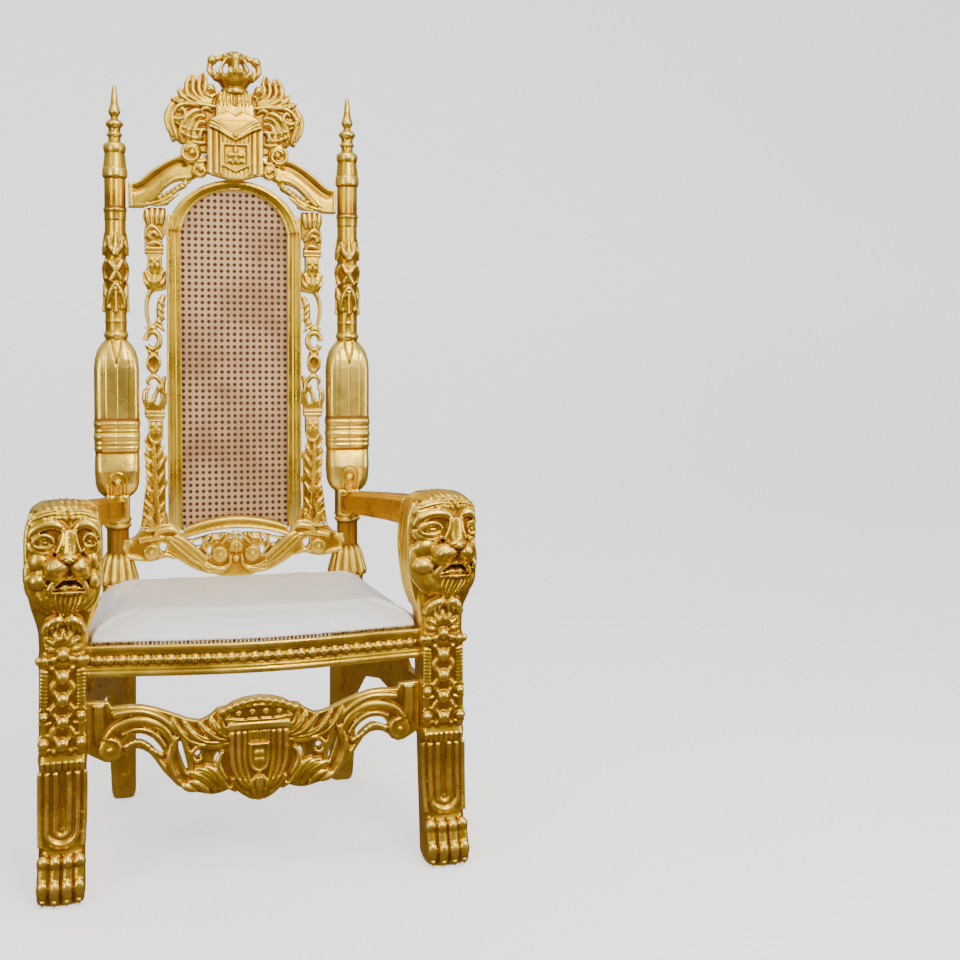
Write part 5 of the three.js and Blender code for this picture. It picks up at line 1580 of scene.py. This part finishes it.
eye = bpy.data.objects.new("camera", bpy.data.cameras.new("camera"))
bpy.context.scene.collection.objects.link(eye)
eye.data.lens = LENS
eye.data.sensor_width = 36
eye.data.shift_y = SHIFT_UP
eye.data.clip_start = 0.05
eye.location = place(CAMERA_X, CAMERA_BEFORE, CAMERA_HEIGHT)
eye.rotation_euler = (Matrix.Rotation(-LOOK_ASIDE, 3, "Z") @ Matrix.Rotation(math.pi / 2 - LOOK_DOWN, 3, "X")
                      @ Matrix.Rotation(ROLL, 3, "Z")).to_euler()
bpy.context.scene.camera = eye

floor_bm = bmesh.new()
sweep = [(-9, 0), (3.2, 0)] + [(3.2 + 1.5 * math.sin(a), 1.5 - 1.5 * math.cos(a))
                               for a in np.linspace(0.1, math.pi / 2, 10)] + [(4.7, 9)]
row = [floor_bm.verts.new((-12, y, z)) for y, z in sweep]
edges = [floor_bm.edges.new(pair) for pair in zip(row, row[1:])]
moved = bmesh.ops.extrude_edge_only(floor_bm, edges=edges)["geom"]
bmesh.ops.translate(floor_bm, vec=(24, 0, 0), verts=[g for g in moved if isinstance(g, bmesh.types.BMVert)])
bmesh.ops.recalc_face_normals(floor_bm, faces=floor_bm.faces)
floor_mesh = bpy.data.meshes.new("floor")
floor_bm.to_mesh(floor_mesh)
floor_bm.free()
floor_mesh.shade_smooth()
floor = bpy.data.objects.new("floor", floor_mesh)
bpy.context.scene.collection.objects.link(floor)
paper = bpy.data.materials.new("studio_paper")
paper.use_nodes = True
tree = paper.node_tree
spread = noise(tree, node(tree, "ShaderNodeTexCoord").outputs["Object"], 3.0).outputs[0]
tint = mixed(tree, spread, (0.86, 0.855, 0.85, 1), (0.90, 0.90, 0.895, 1))
tree.links.new(tint, tree.nodes["Principled BSDF"].inputs["Base Color"])
tree.nodes["Principled BSDF"].inputs["Roughness"].default_value = 0.9
tree.nodes["Principled BSDF"].inputs["Emission Color"].default_value = (1, 0.995, 0.98, 1)
tree.nodes["Principled BSDF"].inputs["Emission Strength"].default_value = 0.75
floor.visible_glossy = False  # the gilding mirrors the room rather than the lit paper
floor_mesh.materials.append(paper)

world = bpy.data.worlds.new("studio")
bpy.context.scene.world = world
world.use_nodes = True
tree = world.node_tree
toward = node(tree, "ShaderNodeSeparateXYZ", None,
              Vector=node(tree, "ShaderNodeTexCoord").outputs["Generated"])
upward = between(tree, toward.outputs[2], -0.15, 0.75)
room = mixed(tree, upward, (0.20, 0.13, 0.075, 1), (0.95, 0.96, 1.0, 1))
tree.links.new(room, tree.nodes["Background"].inputs["Color"])
tree.nodes["Background"].inputs["Strength"].default_value = 0.8


def soft_light(name, spot, target, size, power, color=(1, 1, 1)):
    lamp = bpy.data.lights.new(name, "AREA")
    lamp.shape = "RECTANGLE"
    lamp.size, lamp.size_y = size
    lamp.energy = power
    lamp.color = color
    holder = bpy.data.objects.new(name, lamp)
    bpy.context.scene.collection.objects.link(holder)
    holder.location = spot
    holder.rotation_euler = (Vector(target) - Vector(spot)).to_track_quat("-Z", "Y").to_euler()


soft_light("key", (0.9, -3.2, 2.7), (0, 0, 1.0), (1.3, 1.3), 88, (1, 0.98, 0.94))
soft_light("fill", (-2.6, -2.6, 1.5), (0, 0, 0.9), (0.8, 2.2), 45)
soft_light("side", (2.7, -1.6, 1.4), (0, 0, 0.9), (0.6, 2.2), 30)
soft_light("top", (0, -0.8, 3.4), (0, 0, 0.8), (2.2, 1.6), 42)
